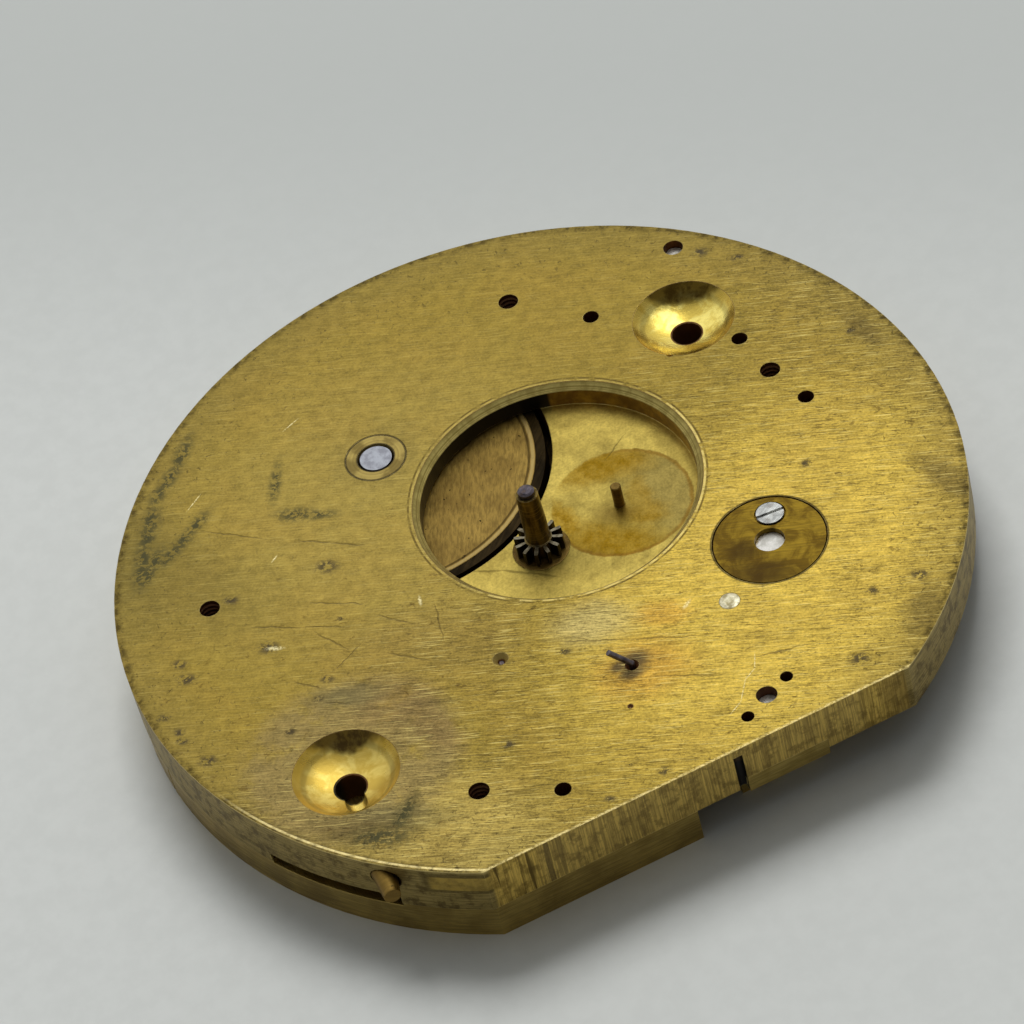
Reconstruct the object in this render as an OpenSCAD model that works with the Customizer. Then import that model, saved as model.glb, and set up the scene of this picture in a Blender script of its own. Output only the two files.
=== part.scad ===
// Pocket watch movement, dial side up, with the hands' wheels and the dial taken off.
// The origin is the centre arbor's axis on the dial face; +Z points out of the dial face
// and +Y points to twelve o'clock. Depths are measured down from the dial face.

/* [Main plate] */
// Radius of the main plate
plate_r = 21.5; // [21.4:0.1:22.5]
// Thickness of the main plate
plate_t = 2.8; // [2.75:0.05:3.1]
// Distance from the centre to the sawn flat at six o'clock
flat_y = 18.3; // [18.1:0.1:18.8]
// Thickness of the bridges below the plate
bridge_t = 2.0; // [1.95:0.05:2.4]
// Gap that the bridges' rim keeps inside the plate's rim
bridge_inset = 0.06; // [0.02:0.02:0.3]

/* [Motion work recess] */
// Radius of the recess in the dial face
recess_r = 7.05; // [6.7:0.05:7.1]
// Depth of the recess
recess_depth = 1.3; // [1.26:0.01:1.34]
// Width of the bevelled lip round the recess
recess_lip = 0.36; // [0.1:0.02:0.5]
// Radius of the minute wheel's post
minute_post_r = 0.27; // [0.2:0.01:0.32]
// Length of the minute wheel's post above the recess floor
minute_post_l = 1.3; // [1:0.05:1.6]
// Radius of that post's foot, pressed in from the back of the plate
minute_foot_r = 0.45; // [0.35:0.01:0.6]

/* [Dial feet] */
// Radius of each spherical dish at the dial face
dish_r = 2.67; // [2.3:0.01:2.7]
// Depth of each dish
dish_depth = 1.25; // [1:0.05:1.4]
// Radius of the bore for a dial foot
dial_foot_r = 0.78; // [0.6:0.01:0.85]
// Radius of the taper pin that locks a dial foot, at the rim
foot_pin_r = 0.6; // [0.45:0.01:0.65]
// Length of that pin outside the rim
foot_pin_out = 1.15; // [0.6:0.05:1.3]

/* [Barrel] */
// Step from the drum's wall out to the roots of the barrel's teeth
barrel_flange = 0.53; // [0.4:0.01:0.7]
// Height of the barrel from its lid to its floor
barrel_h = 1.7; // [1.6:0.02:1.7]
// Wall of the barrel drum
barrel_wall = 0.5; // [0.4:0.02:0.6]
// Thickness of the barrel's lid
lid_t = 0.3; // [0.25:0.01:0.36]
// Thickness of the barrel's floor
barrel_floor_t = 0.3; // [0.25:0.01:0.36]
// Height of the barrel's teeth
barrel_tooth_h = 0.45; // [0.35:0.01:0.5]
// Number of teeth on the barrel
barrel_teeth = 80; // [72:2:84]
// Radius of the barrel arbor's pivots
barrel_pivot_r = 0.83; // [0.82:0.01:0.9]
// Side of the winding square
winding_square = 1.14; // [0.9:0.02:1.14]
// Thickness of the mainspring
mainspring_t = 0.2; // [0.12:0.01:0.24]
// Number of turns of the mainspring
mainspring_turns = 8; // [6:1:8]

/* [Train] */
// Number of leaves on the centre pinion
centre_leaves = 10; // [10:2:12]
// Number of teeth on the centre wheel
centre_teeth = 80; // [72:4:84]
// Number of leaves on the third pinion
third_leaves = 10; // [10:2:12]
// Number of teeth on the third wheel
third_teeth = 75; // [70:5:80]
// Number of leaves on the fourth pinion
fourth_leaves = 10; // [10:2:12]
// Number of teeth on the fourth wheel
fourth_teeth = 70; // [63:7:77]
// Number of leaves on the escape pinion
escape_leaves = 7; // [7:1:8]
// Thickness of the train wheels
wheel_t = 0.18; // [0.14:0.01:0.19]
// Width of the train wheels' rims
wheel_rim = 0.6; // [0.45:0.05:0.8]
// Radius of the seconds pivot that stands out of the dial face
seconds_pivot_r = 0.15; // [0.12:0.01:0.17]
// Length of the bent end of the seconds pivot
seconds_bent_l = 1.45; // [0.8:0.05:1.8]
// Lean of the bent end of the seconds pivot
seconds_bend = 42; // [0:1:50]

/* [Hands setting] */
// Radius of the cannon pinion's tube
cannon_r = 0.62; // [0.57:0.01:0.65]
// Height of the cannon pinion's tube above the dial face
cannon_top = 2.7; // [2:0.05:3.2]
// Number of leaves on the cannon pinion
cannon_leaves = 12; // [10:1:14]
// Radius over the cannon pinion's leaves
cannon_tip_r = 1.25; // [1.1:0.01:1.3]
// Radius of the setting arbor
setting_r = 0.42; // [0.36:0.01:0.43]
// Side of the setting square
setting_square = 0.9; // [0.7:0.02:1]

/* [Escapement] */
// Number of teeth on the escape wheel
escape_teeth = 15; // [15:1:16]
// Radius over the escape wheel's teeth
escape_r = 2.7; // [2.5:0.02:2.72]
// Greatest angle of the lever to each side
lever_swing = 5; // [4:0.5:5.5]
// Radius of the balance rim
balance_r = 7.1; // [6.6:0.05:7.15]
// Width of the balance rim
balance_rim = 0.65; // [0.5:0.05:0.8]
// Height of the balance rim
balance_h = 0.45; // [0.4:0.01:0.46]
// Number of screws round the balance rim
balance_screw_count = 14; // [8:2:16]
// Radius of the hairspring's last turn
hairspring_r = 3.4; // [3.2:0.05:3.5]
// Number of turns of the hairspring
hairspring_turns = 5; // [4:1:5]
// Thickness of the hairspring
hairspring_t = 0.08; // [0.05:0.01:0.08]

/* [Screws and pins] */
// Radius of a bridge screw's thread
screw_r = 0.5; // [0.4:0.01:0.52]
// Radius of a bridge screw's head
screw_head_r = 1.05; // [0.9:0.05:1.15]
// Height of a bridge screw's head
screw_head_h = 0.5; // [0.4:0.02:0.55]
// Radius of a bridge's steady pins
steady_r = 0.4; // [0.3:0.01:0.42]
// Radius of the balance cock's steady pins
small_steady_r = 0.3; // [0.25:0.01:0.32]
// Radius of the balance endpiece
endpiece_r = 2.8; // [2.6:0.02:2.85]
// Thickness of the balance endpiece
endpiece_t = 0.43; // [0.4:0.01:0.44]
// Radius of the hole in the balance endpiece
endpiece_hole_r = 0.76; // [0.6:0.01:0.8]

/* [Fits] */
// Radial clearance of a shaft that turns in a bore
fit = 0.02; // [0.015:0.005:0.03]
// Gap round a piece that is seated in a fixed hole
seat_gap = 0.02; // [0.01:0.005:0.03]
// Gap between flat faces that pass each other
pass_gap = 0.12; // [0.1:0.01:0.13]

/* [Hidden] */
$fn = 64;

// Distance that a cut runs past the face that it opens
over = 0.1;
// A line that ends well outside the plate
beyond = 2 * plate_r;

// Places on the plate; what sits at the rim is placed from the plate's radius
function rim_place(inset, turn) = (plate_r - inset) * [cos(turn), sin(turn)];
barrel_at = [-4.8, 9.35];
third_at = [-5.05, -6.65];
fourth_at = [0.2, -10.65];
escape_at = [3.4, -7.5];
pallet_at = [6, -9.65];
balance_at = [9.45, -7.15];
recess_at = [2.1, 2.05];
minute_post_at = [4.6, 0.45];
dish_places = [[12.65, 9.1], [-14.4, -8.97]];
chip_at = [11, 7.25];
punch_at = [-1, -12.98];
endpiece_screw_at = [10.24, -5.62];
case_screw_at = rim_place(1.32, 44.16);
// Bridge screws and their steady pins: the barrel bridge, its left end, the centre bridge
// and the train bridge
screw_places = [[5.58, 15.56], [-16.02, 4.69], [14.69, 3.19], [-9.4, -13.66]];
steady_places = [[8.7, 11.99], [-16.9, 7.6], [14.39, 6.08], [15.34, 0.45], [-5.95, -15.82],
    [-13.6, -5.2]];
cock_screw_at = [4.83, -16.01];
cock_steady_places = [[6.14, -15.53], [3.46, -16.73]];
escapement_screw_at = [8.7, -12.5];
escapement_steady_places = [[7.4, -13.2], [9.95, -11.85]];

// Depths below the dial face, from the dial side to the back
back_depth = plate_t + bridge_t;
lid_depth = recess_depth + 0.1;
barrel_low = lid_depth + barrel_h;
barrel_ceiling = recess_depth - 0.05;
flange_top = barrel_low - barrel_tooth_h;
centre_wheel_top = barrel_low + pass_gap;
bar_depth = centre_wheel_top + wheel_t + pass_gap + 0.03;
escape_ceiling = 1.8;
escape_top = escape_ceiling + pass_gap + 0.03;
third_top = escape_top + wheel_t + pass_gap;
third_ceiling = third_top - pass_gap;
fourth_top = third_top + wheel_t + pass_gap;
cock_top = plate_t + pass_gap;
cock_low = bar_depth - 0.1;
balance_top = bar_depth + 0.05;
balance_low = balance_top + balance_h;
balance_arm_t = 0.15;
hairspring_h = 0.15;
hairspring_top = balance_top + balance_arm_t + pass_gap;
arm_top = balance_low + 0.1;
arm_low = arm_top + 0.4;
index_top = arm_low + 0.03;
index_t = 0.14;
ratchet_sink = 4.0;
ratchet_top = ratchet_sink + 0.05;
ratchet_t = 0.3;
oil_sink_depth = 4.2;
screw_sink = back_depth - screw_head_h - 0.1;
roller_top = escape_top + wheel_t + 0.17;
roller_t = 0.18;

// Gear sizes from the centre distances and the counts
function pair_distance(a, b) = norm(b - a);
function wheel_pitch(a, b, teeth, leaves) = pair_distance(a, b) * teeth / (teeth + leaves);
function pinion_pitch(a, b, teeth, leaves) = pair_distance(a, b) * leaves / (teeth + leaves);
function direction(a, b) = atan2(b[1] - a[1], b[0] - a[0]);
centre_at = [0, 0];
barrel_pitch = wheel_pitch(barrel_at, centre_at, barrel_teeth, centre_leaves);
centre_pinion_pitch = pinion_pitch(barrel_at, centre_at, barrel_teeth, centre_leaves);
centre_pitch = wheel_pitch(centre_at, third_at, centre_teeth, third_leaves);
third_pinion_pitch = pinion_pitch(centre_at, third_at, centre_teeth, third_leaves);
third_pitch = wheel_pitch(third_at, fourth_at, third_teeth, fourth_leaves);
fourth_pinion_pitch = pinion_pitch(third_at, fourth_at, third_teeth, fourth_leaves);
fourth_pitch = wheel_pitch(fourth_at, escape_at, fourth_teeth, escape_leaves);
escape_pinion_pitch = pinion_pitch(fourth_at, escape_at, fourth_teeth, escape_leaves);

// A tooth's height above the pitch circle and its depth below, in modules
wheel_add = 0.95;
wheel_ded = 1.35;
leaf_add = 0.7;
leaf_ded = 1.35;
function tip_radius(pitch, count, add) = pitch + add * 2 * pitch / count;
barrel_tip = tip_radius(barrel_pitch, barrel_teeth, wheel_add);
centre_tip = tip_radius(centre_pitch, centre_teeth, wheel_add);
third_tip = tip_radius(third_pitch, third_teeth, wheel_add);
fourth_tip = tip_radius(fourth_pitch, fourth_teeth, wheel_add);

// The drum's wall stands inside the teeth's roots by the flange
barrel_r = barrel_pitch - wheel_ded * 2 * barrel_pitch / barrel_teeth - barrel_flange;

// Pockets that the wheels and the pinions' leaves turn in
pocket_gap = 0.17;
drum_gap = 0.38;
leaf_gap = 0.35;
barrel_pocket = barrel_r + drum_gap;
barrel_tooth_pocket = barrel_tip + pocket_gap;
centre_pocket = centre_tip + pocket_gap;
third_pocket = third_tip + pocket_gap;
fourth_pocket = fourth_tip + pocket_gap;
// Circle kept clear round the balance and its screws
balance_screw_out = 0.6;
balance_clear = balance_r + balance_screw_out + 0.35;

centre_bush_r = 1.45;
centre_pivot_r = 0.6;
centre_bore = setting_r + fit;
barrel_bush_r = 1.56;
pallet_bush_r = 0.52;
pivot_r = 0.12;
fine_pivot_r = 0.1;
staff_pivot_r = 0.09;
arbor_r = 0.28;
small_arbor_r = 0.22;
arbor_gap = 0.04;
jewel_r = 0.45;
jewel_t = 0.28;
seconds_hole_r = seconds_pivot_r + fit;
// Depth from which a train arbor is thicker than its pivot, and the bore round it
shoulder = 1.25;
shake = 0.03;
shoulder_bore = 1.1;
pivot_bore_low = 1.2;
// Depths and radii of the balance's lower endstone, jewel and endpiece screw
endstone_r = 0.74;
endstone_top = 0.32;
endstone_low = endpiece_t + 0.1;
lower_jewel_r = 0.6;
lower_jewel_top = endpiece_t + 0.19;
lower_jewel_low = endpiece_t + 0.45;
endpiece_head_r = 0.7;
endpiece_head_gap = 0.09;
endpiece_slot_turn = -6;
endpiece_gap = 0.07;
endpiece_head_proud = 0.04;
endpiece_head_low = 0.22;
endpiece_shank_r = 0.28;
endpiece_shank_low = 1.45;
// Screw and pins of the escapement cock
small_screw_r = 0.35;
small_head_r = 0.78;
small_head_t = 0.29;
small_pin_r = 0.25;
// Case screw
case_screw_top = 0.5;
case_head_r = 1.15;
case_head_t = 0.55;
// The minute wheel's post is full-size to this depth below the recess floor
minute_foot_top = recess_depth + 0.15;
thread_turns = 4;
thread_pitch = 0.28;
thread_half = 0.09;
link_inset = 0.01;

// Extrudes a flat shape between two depths
module between(top, low) {
    translate([0, 0, -low])
        linear_extrude(low - top)
            children();
}

// A round post or bore between two depths
module post(at, r, top, low) {
    translate([at[0], at[1], -low])
        cylinder(h = low - top, r = r);
}

// A cone between two depths
module cone(at, r_top, r_low, top, low) {
    translate([at[0], at[1], -low])
        cylinder(h = low - top, r1 = r_low, r2 = r_top);
}

// Two circles joined by straight sides that lie just inside their outer tangents
module link(a, ra, b, rb) {
    turn = direction(a, b);
    lean = acos((ra - rb) / norm(b - a));
    side_a = ra - link_inset;
    side_b = rb - link_inset;
    translate(a) circle(ra);
    translate(b) circle(rb);
    polygon([
        a + side_a * [cos(turn - lean), sin(turn - lean)],
        b + side_b * [cos(turn - lean), sin(turn - lean)],
        b + side_b * [cos(turn + lean), sin(turn + lean)],
        a + side_a * [cos(turn + lean), sin(turn + lean)]]);
}

// Points of a toothed wheel: each tooth has a root, a flank and a narrowed tip
function tooth_points(count, pitch, add, ded, share, tip_share) =
    let(module_mm = 2 * pitch / count, step = 360 / count)
    [for (i = [0 : count - 1])
        for (corner = [[-0.5 * share, -ded], [-0.5 * share, 0], [-0.5 * tip_share, add],
                [0.5 * tip_share, add], [0.5 * share, 0], [0.5 * share, -ded]])
            (pitch + corner[1] * module_mm)
                * [cos((i + corner[0]) * step), sin((i + corner[0]) * step)]];

module wheel_teeth(count, pitch, turn) {
    rotate(turn)
        polygon(tooth_points(count, pitch, wheel_add, wheel_ded, 0.42, 0.16));
}

// A pinion has a gap, not a leaf, at the angle given
module pinion_leaves(count, pitch, turn) {
    rotate(turn + 180 / count)
        polygon(tooth_points(count, pitch, leaf_add, leaf_ded, 0.34, 0.18));
}

// A crossed-out train wheel: teeth, rim, arms and hub
module crossed_wheel(count, pitch, turn, arms, hub_r, bore_r) {
    inner = pitch - wheel_rim;
    difference() {
        wheel_teeth(count, pitch, turn);
        difference() {
            circle(inner);
            circle(hub_r);
            for (i = [0 : arms - 1])
                rotate(i * 360 / arms)
                    translate([0, -wheel_rim / 2]) square([inner, wheel_rim]);
        }
        circle(bore_r);
    }
}

module plate_outline(r) {
    difference() {
        circle(r);
        translate([-beyond, -flat_y - beyond])
            square([2 * beyond, beyond]);
    }
}

// Rings of a thread at the dial-side end of a screw hole
module thread_rings(at, r, top) {
    for (i = [0 : thread_turns - 1])
        translate([at[0], at[1], -top - i * thread_pitch])
            rotate_extrude()
                polygon([[0, thread_half], [r, thread_half], [r + thread_half, 0],
                    [r, -thread_half], [0, -thread_half]]);
}

// Spherical dish for a dial foot's solder, open at the dial face
module dish(at) {
    sphere_r = (dish_r * dish_r + dish_depth * dish_depth) / (2 * dish_depth);
    translate([at[0], at[1], sphere_r - dish_depth])
        sphere(r = sphere_r, $fn = 96);
    post(at, dial_foot_r, 0.2, plate_t + over);
}

// The dial foot's taper pin and the hole that it is driven into from the rim
foot_pin_rim = rim_place(0, 224.93);
foot_pin_turn = direction(foot_pin_rim, dish_places[1]);
foot_pin_depth = 1.05;
foot_pin_in = 4.1;
foot_pin_mouth = 0.6;
module along_foot_pin() {
    translate([foot_pin_rim[0], foot_pin_rim[1], -foot_pin_depth])
        rotate([0, 90, foot_pin_turn])
            children();
}

module foot_pin_bore() {
    along_foot_pin() {
        translate([0, 0, -2]) cylinder(h = 2 + foot_pin_mouth, r = foot_pin_r + 0.05);
        cylinder(h = foot_pin_in + 1.6, r = foot_pin_r - 0.08);
    }
}

// Open pocket for the lever, the roller and the escape wheel
module escapement_pocket() {
    translate(escape_at) circle(escape_r + 0.3);
    link(pallet_at, 2.3, balance_at, 1.9);
}

// The slot in the rim between the plate and the train bridge
slot_from = 206.5;
slot_to = 226.2;
slot_in = 3.2;
slot_top = 2.25;
slot_low = 3.05;
module slot_outline() {
    steps = 8;
    function slot_turn(i) = slot_from + i * (slot_to - slot_from) / steps;
    polygon(concat(
        [for (i = [0 : steps]) rim_place(slot_in, slot_turn(i))],
        [for (i = [steps : -1 : 0]) rim_place(-1, slot_turn(i))]));
}

// Seat that the balance cock's foot is let into
seat_top = plate_t - 0.6;
seat_low = plate_t + 0.4;
seat_x = [2.3, 6.6];
seat_end_r = 1.15;
seat_in = 2.2;
module cock_seat(gap) {
    difference() {
        union() {
            link(cock_steady_places[0], seat_end_r + gap, cock_steady_places[1],
                seat_end_r + gap);
            translate([seat_x[0] - gap, -flat_y - 1])
                square([seat_x[1] - seat_x[0] + 2 * gap, seat_in + 1]);
        }
        translate(balance_at) circle(balance_clear);
    }
}

module main_plate() {
    color([0.72, 0.6, 0.26])
    difference() {
        between(0, plate_t) plate_outline(plate_r);
        post(recess_at, recess_r, -over, recess_depth);
        cone(recess_at, recess_r + recess_lip, recess_r, 0, recess_lip);
        post(minute_post_at, minute_post_r, 0, plate_t);
        post(minute_post_at, minute_foot_r, minute_foot_top, plate_t + over);
        train_cuts();
        escapement_cuts();
        endpiece_cuts();
        fastener_cuts();
        for (at = dish_places)
            dish(at);
        post(chip_at, chip_r, -over, chip_depth);
        cone(punch_at, punch_r, punch_r / 4, -0.01, punch_depth);
        between(slot_top, plate_t + over) slot_outline();
        foot_pin_bore();
        // Rough nick in the sawn flat
        post([nick_x, -flat_y], nick_r, nick_top, plate_t + over);
    }
}

// Broken-in hole beside a dish, punch mark on the dial face and nick in the flat
chip_r = 0.28;
chip_depth = 0.9;
punch_r = 0.16;
punch_depth = 0.12;
nick_x = 2.05;
nick_r = 0.24;
nick_top = 0.5;

// Pockets, pivot holes and bush seats of the barrel and the train
third_cup_r = 0.42;
fourth_cup_r = 0.36;
cup_depth = 0.3;
module train_cuts() {
    flange_ceiling = flange_top - pass_gap;
    post(barrel_at, barrel_pocket, barrel_ceiling, plate_t + over);
    post(barrel_at, barrel_tooth_pocket, flange_ceiling, plate_t + over);
    post(barrel_at, barrel_bush_r + seat_gap, -over, barrel_ceiling + over);
    post(centre_at, centre_bush_r, recess_depth - over, plate_t);
    post(centre_at, centre_pinion_pitch + leaf_gap, flange_ceiling, plate_t + over);
    post(third_at, third_pocket, third_ceiling, plate_t + over);
    pivot_hole(third_at, pivot_r + fit, third_cup_r);
    post(fourth_at, fourth_pocket, fourth_top - pass_gap, plate_t + over);
    post(fourth_at, fourth_pinion_pitch + leaf_gap, third_ceiling, plate_t + over);
    pivot_hole(fourth_at, seconds_hole_r, fourth_cup_r);
}

// A pivot's hole with its oil cup at the dial face and room for the arbor below it
module pivot_hole(at, r, cup_r) {
    cone(at, cup_r, r, -0.01, cup_depth);
    post(at, r, cup_depth - over, pivot_bore_low);
    post(at, arbor_r + arbor_gap, shoulder_bore, plate_t);
}

module escapement_cuts() {
    between(escape_ceiling, plate_t + over) escapement_pocket();
    post(escape_at, jewel_r, escape_ceiling - jewel_t, plate_t);
    post(escape_at, 0.2, escape_ceiling - jewel_t - 0.15, plate_t);
    post(pallet_at, pallet_bush_r, -over, plate_t);
    post(escapement_screw_at, small_screw_r + seat_gap, 1.5, plate_t + over);
    for (at = escapement_steady_places)
        post(at, small_pin_r + seat_gap, 1.9, plate_t + over);
    for (side = [-1, 1])
        post(banking_place(side), banking_r, banking_top, plate_t);
}

// Stepped seat of the endpiece, the endstone and the balance's lower jewel
module endpiece_cuts() {
    post(balance_at, endpiece_r + endpiece_gap, -over, endpiece_t + seat_gap);
    post(balance_at, endstone_r + arbor_gap, over, endstone_low + 0.07);
    post(balance_at, lower_jewel_r, over, lower_jewel_low);
    post(balance_at, lower_jewel_r - 0.1, over, plate_t);
    post(endpiece_screw_at, endpiece_shank_r + seat_gap, over, endpiece_shank_low + 0.05);
}

// Screw and pin holes that the bridges, the cock and the case need in the plate. The pins
// at the ends of the two large bridges stop in blind holes.
blind_pin_top = 1.3;
module fastener_cuts() {
    for (at = screw_places) {
        post(at, screw_r + seat_gap, -over, plate_t + over);
        thread_rings(at, screw_r, 0.3);
    }
    for (i = [0 : len(steady_places) - 1])
        post(steady_places[i], steady_r + seat_gap, i == 1 || i == 5 ? blind_pin_top : -over,
            plate_t + over);
    for (at = [cock_screw_at, case_screw_at])
        post(at, screw_r + seat_gap, -over, plate_t + over);
    for (at = cock_steady_places)
        post(at, small_steady_r + seat_gap, -over, plate_t + over);
    between(seat_top, plate_t + over) cock_seat(seat_gap);
}

module centre_bush() {
    color([0.7, 0.62, 0.36])
    difference() {
        post(centre_at, centre_bush_r - seat_gap / 2, recess_depth, flange_top - pass_gap);
        post(centre_at, centre_pivot_r + fit, 0, back_depth);
    }
}

module barrel_bush() {
    color([0.74, 0.66, 0.4])
    difference() {
        post(barrel_at, barrel_bush_r, 0, barrel_ceiling);
        post(barrel_at, barrel_pivot_r + fit, -0.1, back_depth);
        cone(barrel_at, barrel_pivot_r + 0.16, barrel_pivot_r, -0.01, 0.16);
    }
}

module pallet_bush() {
    color([0.75, 0.74, 0.7])
    difference() {
        union() {
            post(pallet_at, pallet_bush_r - seat_gap / 2, 0, escape_ceiling);
            cone(pallet_at, 0.3, pallet_bush_r - seat_gap / 2, -0.08, 0);
        }
        post(pallet_at, fine_pivot_r + fit, 1.2, back_depth);
    }
}

module minute_wheel_post() {
    color([0.66, 0.55, 0.3]) {
        post(minute_post_at, minute_post_r, recess_depth - minute_post_l, plate_t - over);
        cone(minute_post_at, minute_post_r - 0.05, minute_post_r,
            recess_depth - minute_post_l - 0.05, recess_depth - minute_post_l);
        post(minute_post_at, minute_foot_r, minute_foot_top, plate_t);
    }
}

module balance_endpiece() {
    color([0.5, 0.4, 0.18])
    difference() {
        post(balance_at, endpiece_r, 0.02, endpiece_t);
        post(balance_at, endpiece_hole_r, -over, back_depth);
        post(endpiece_screw_at, endpiece_head_r + endpiece_head_gap, -over,
            endpiece_head_low + 0.02);
        post(endpiece_screw_at, endpiece_shank_r + arbor_gap, -over, back_depth);
    }
}

// Driver's slot across a screw's head; the head is cut from both sides of the depth given
driver_w = 0.16;
driver_depth = 0.2;
module screw_slot(at, r, turn, top) {
    translate([at[0], at[1], -top])
        rotate(turn)
            cube([2 * (r + over), driver_w, 2 * driver_depth], center = true);
}

module endpiece_screw() {
    color([0.78, 0.78, 0.77])
    difference() {
        union() {
            post(endpiece_screw_at, endpiece_head_r, -endpiece_head_proud, endpiece_head_low);
            post(endpiece_screw_at, endpiece_shank_r, 0, endpiece_shank_low);
        }
        screw_slot(endpiece_screw_at, endpiece_head_r, endpiece_slot_turn, -endpiece_head_proud);
    }
}

module lower_endstone() {
    color([0.8, 0.8, 0.8])
        post(balance_at, endstone_r, endstone_top, endstone_low);
}

module lower_balance_jewel() {
    color([0.75, 0.15, 0.25])
    difference() {
        post(balance_at, lower_jewel_r - seat_gap / 2, lower_jewel_top, lower_jewel_low);
        post(balance_at, staff_pivot_r + fit, 0, back_depth);
    }
}

// The pin tapers to its outer end and stops short of the dial foot's bore
module dial_foot_pin() {
    color([0.6, 0.48, 0.2])
        along_foot_pin() {
            translate([0, 0, -foot_pin_out])
                cylinder(h = foot_pin_out + foot_pin_mouth - 0.05, r1 = foot_pin_r - 0.18,
                    r2 = foot_pin_r);
            cylinder(h = foot_pin_in, r = foot_pin_r - 0.1);
        }
}

module case_screw() {
    color([0.55, 0.55, 0.55])
    difference() {
        union() {
            post(case_screw_at, screw_r, case_screw_top, plate_t);
            post(case_screw_at, case_head_r, plate_t, plate_t + case_head_t);
        }
        screw_slot(case_screw_at, case_head_r, 40, plate_t + case_head_t);
    }
}

// The bridges together: the part of the plate's circle that each one covers
bar_boss_r = 2.5;
bar_sides = [-2.3, 2.6];
bar_end_inset = 0.9;
bar_foot_r = [1.4, 1.2];
bar_foot_inner = 11.9;
module centre_bar_outline(gap) {
    bar_turn = direction(centre_at, screw_places[2]);
    difference() {
        intersection() {
            plate_outline(plate_r - bridge_inset - bar_end_inset);
            union() {
                circle(bar_boss_r + gap);
                rotate(bar_turn)
                    translate([0, bar_sides[0] - gap])
                        square([plate_r, bar_sides[1] - bar_sides[0] + 2 * gap]);
                link(steady_places[2], bar_foot_r[0] + gap, steady_places[3],
                    bar_foot_r[1] + gap);
            }
        }
        translate(balance_at) circle(balance_clear - gap);
    }
}

bridge_split = 0.15;
barrel_under_gap = 0.15;
barrel_bridge_edge = [[-beyond, -0.9], [2.4, -0.9], [6, 3.6], [12.4, 8.6], [5.25, beyond],
    [-beyond, beyond]];
train_bridge_edge = [[-beyond, -1.05], [-1.5, -1.05], [-0.2, -2.2], [2, -5.4], [1.95, -11.8],
    [-0.5, -14.2], [-0.5, -beyond], [-beyond, -beyond]];

screw_hole_gap = 0.05;
module bridge_screw_hole(at) {
    post(at, screw_r + screw_hole_gap, 0, back_depth + over);
    post(at, screw_head_r + screw_hole_gap, screw_sink, back_depth + over);
}

module bridge_pin_hole(at) {
    post(at, steady_r + seat_gap, 0, back_depth + over);
}

ratchet_pitch_r = 3.35;
ratchet_count = 36;
ratchet_tip = 3.6;
ratchet_sink_gap = 0.25;
click_turn = 200;
// Places in the winding work, along and across the line from the barrel arbor to the click
click_arm = 5.45;
click_nose = [3.42, 1.5];
click_heel = [4.5, 2.2];
click_back = [4.75, -0.3];
click_side = [6, 0.8];
spring_foot = [8.1, -1.6];
spring_knee = [7.75, 1.5];
spring_elbow = [6.6, 3];
spring_tip = [4.72, 2.75];
click_boss_r = 0.8;
click_screw_r = 0.3;
click_head_r = 0.62;
function from_barrel(p) = barrel_at + [
    p[0] * cos(click_turn) - p[1] * sin(click_turn),
    p[0] * sin(click_turn) + p[1] * cos(click_turn)];
click_at = from_barrel([click_arm, 0]);
click_spring_at = from_barrel(spring_foot);

// Sink for the ratchet wheel, the click and its spring
module winding_sink() {
    corner = from_barrel([7.3, 3.4]);
    nose_side = from_barrel([3.9, 2.3]);
    spring_side = from_barrel([7.6, 0.8]);
    translate(barrel_at) circle(ratchet_tip + ratchet_sink_gap);
    link(click_at, click_boss_r + 0.35, nose_side, 0.9);
    link(click_spring_at, click_boss_r + 0.4, corner, 0.8);
    link(corner, 0.8, nose_side, 0.9);
    link(click_at, click_boss_r + 0.6, spring_side, 1.3);
}

module barrel_bridge() {
    color([0.74, 0.61, 0.28])
    difference() {
        between(plate_t, back_depth)
            difference() {
                intersection() {
                    plate_outline(plate_r - bridge_inset);
                    polygon(barrel_bridge_edge);
                }
                centre_bar_outline(bridge_split);
            }
        post(barrel_at, barrel_tooth_pocket, 0, barrel_low + barrel_under_gap);
        post(centre_at, centre_pocket, 0, bar_depth);
        post(barrel_at, barrel_pivot_r + fit, 0, back_depth + over);
        between(ratchet_sink, back_depth + over) winding_sink();
        for (at = [click_at, click_spring_at])
            post(at, click_screw_r + seat_gap, 0, back_depth);
        for (i = [0, 1]) {
            bridge_screw_hole(screw_places[i]);
            bridge_pin_hole(steady_places[i]);
        }
    }
}

module train_bridge() {
    color([0.74, 0.61, 0.28])
    difference() {
        between(plate_t, back_depth)
            difference() {
                intersection() {
                    plate_outline(plate_r - bridge_inset);
                    polygon(train_bridge_edge);
                }
                circle(bar_boss_r + bridge_split);
                translate(balance_at) circle(balance_clear);
            }
        post(centre_at, centre_pocket, 0, bar_depth);
        post(third_at, third_pinion_pitch + leaf_gap + 0.05, 0, bar_depth);
        post(fourth_at, fourth_pocket, 0, plate_t + barrel_under_gap);
        post(barrel_at, barrel_tooth_pocket, 0, barrel_low + barrel_under_gap);
        post(fourth_at, arbor_r + arbor_gap, 0, bar_depth);
        for (at = [third_at, fourth_at]) {
            post(at, pivot_r + fit, 0, back_depth + over);
            cone(at, 0.3, 0.75, oil_sink_depth, back_depth + 0.01);
        }
        bridge_screw_hole(screw_places[3]);
        for (i = [4, 5])
            bridge_pin_hole(steady_places[i]);
        between(plate_t - over, slot_low) slot_outline();
    }
}

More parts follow.
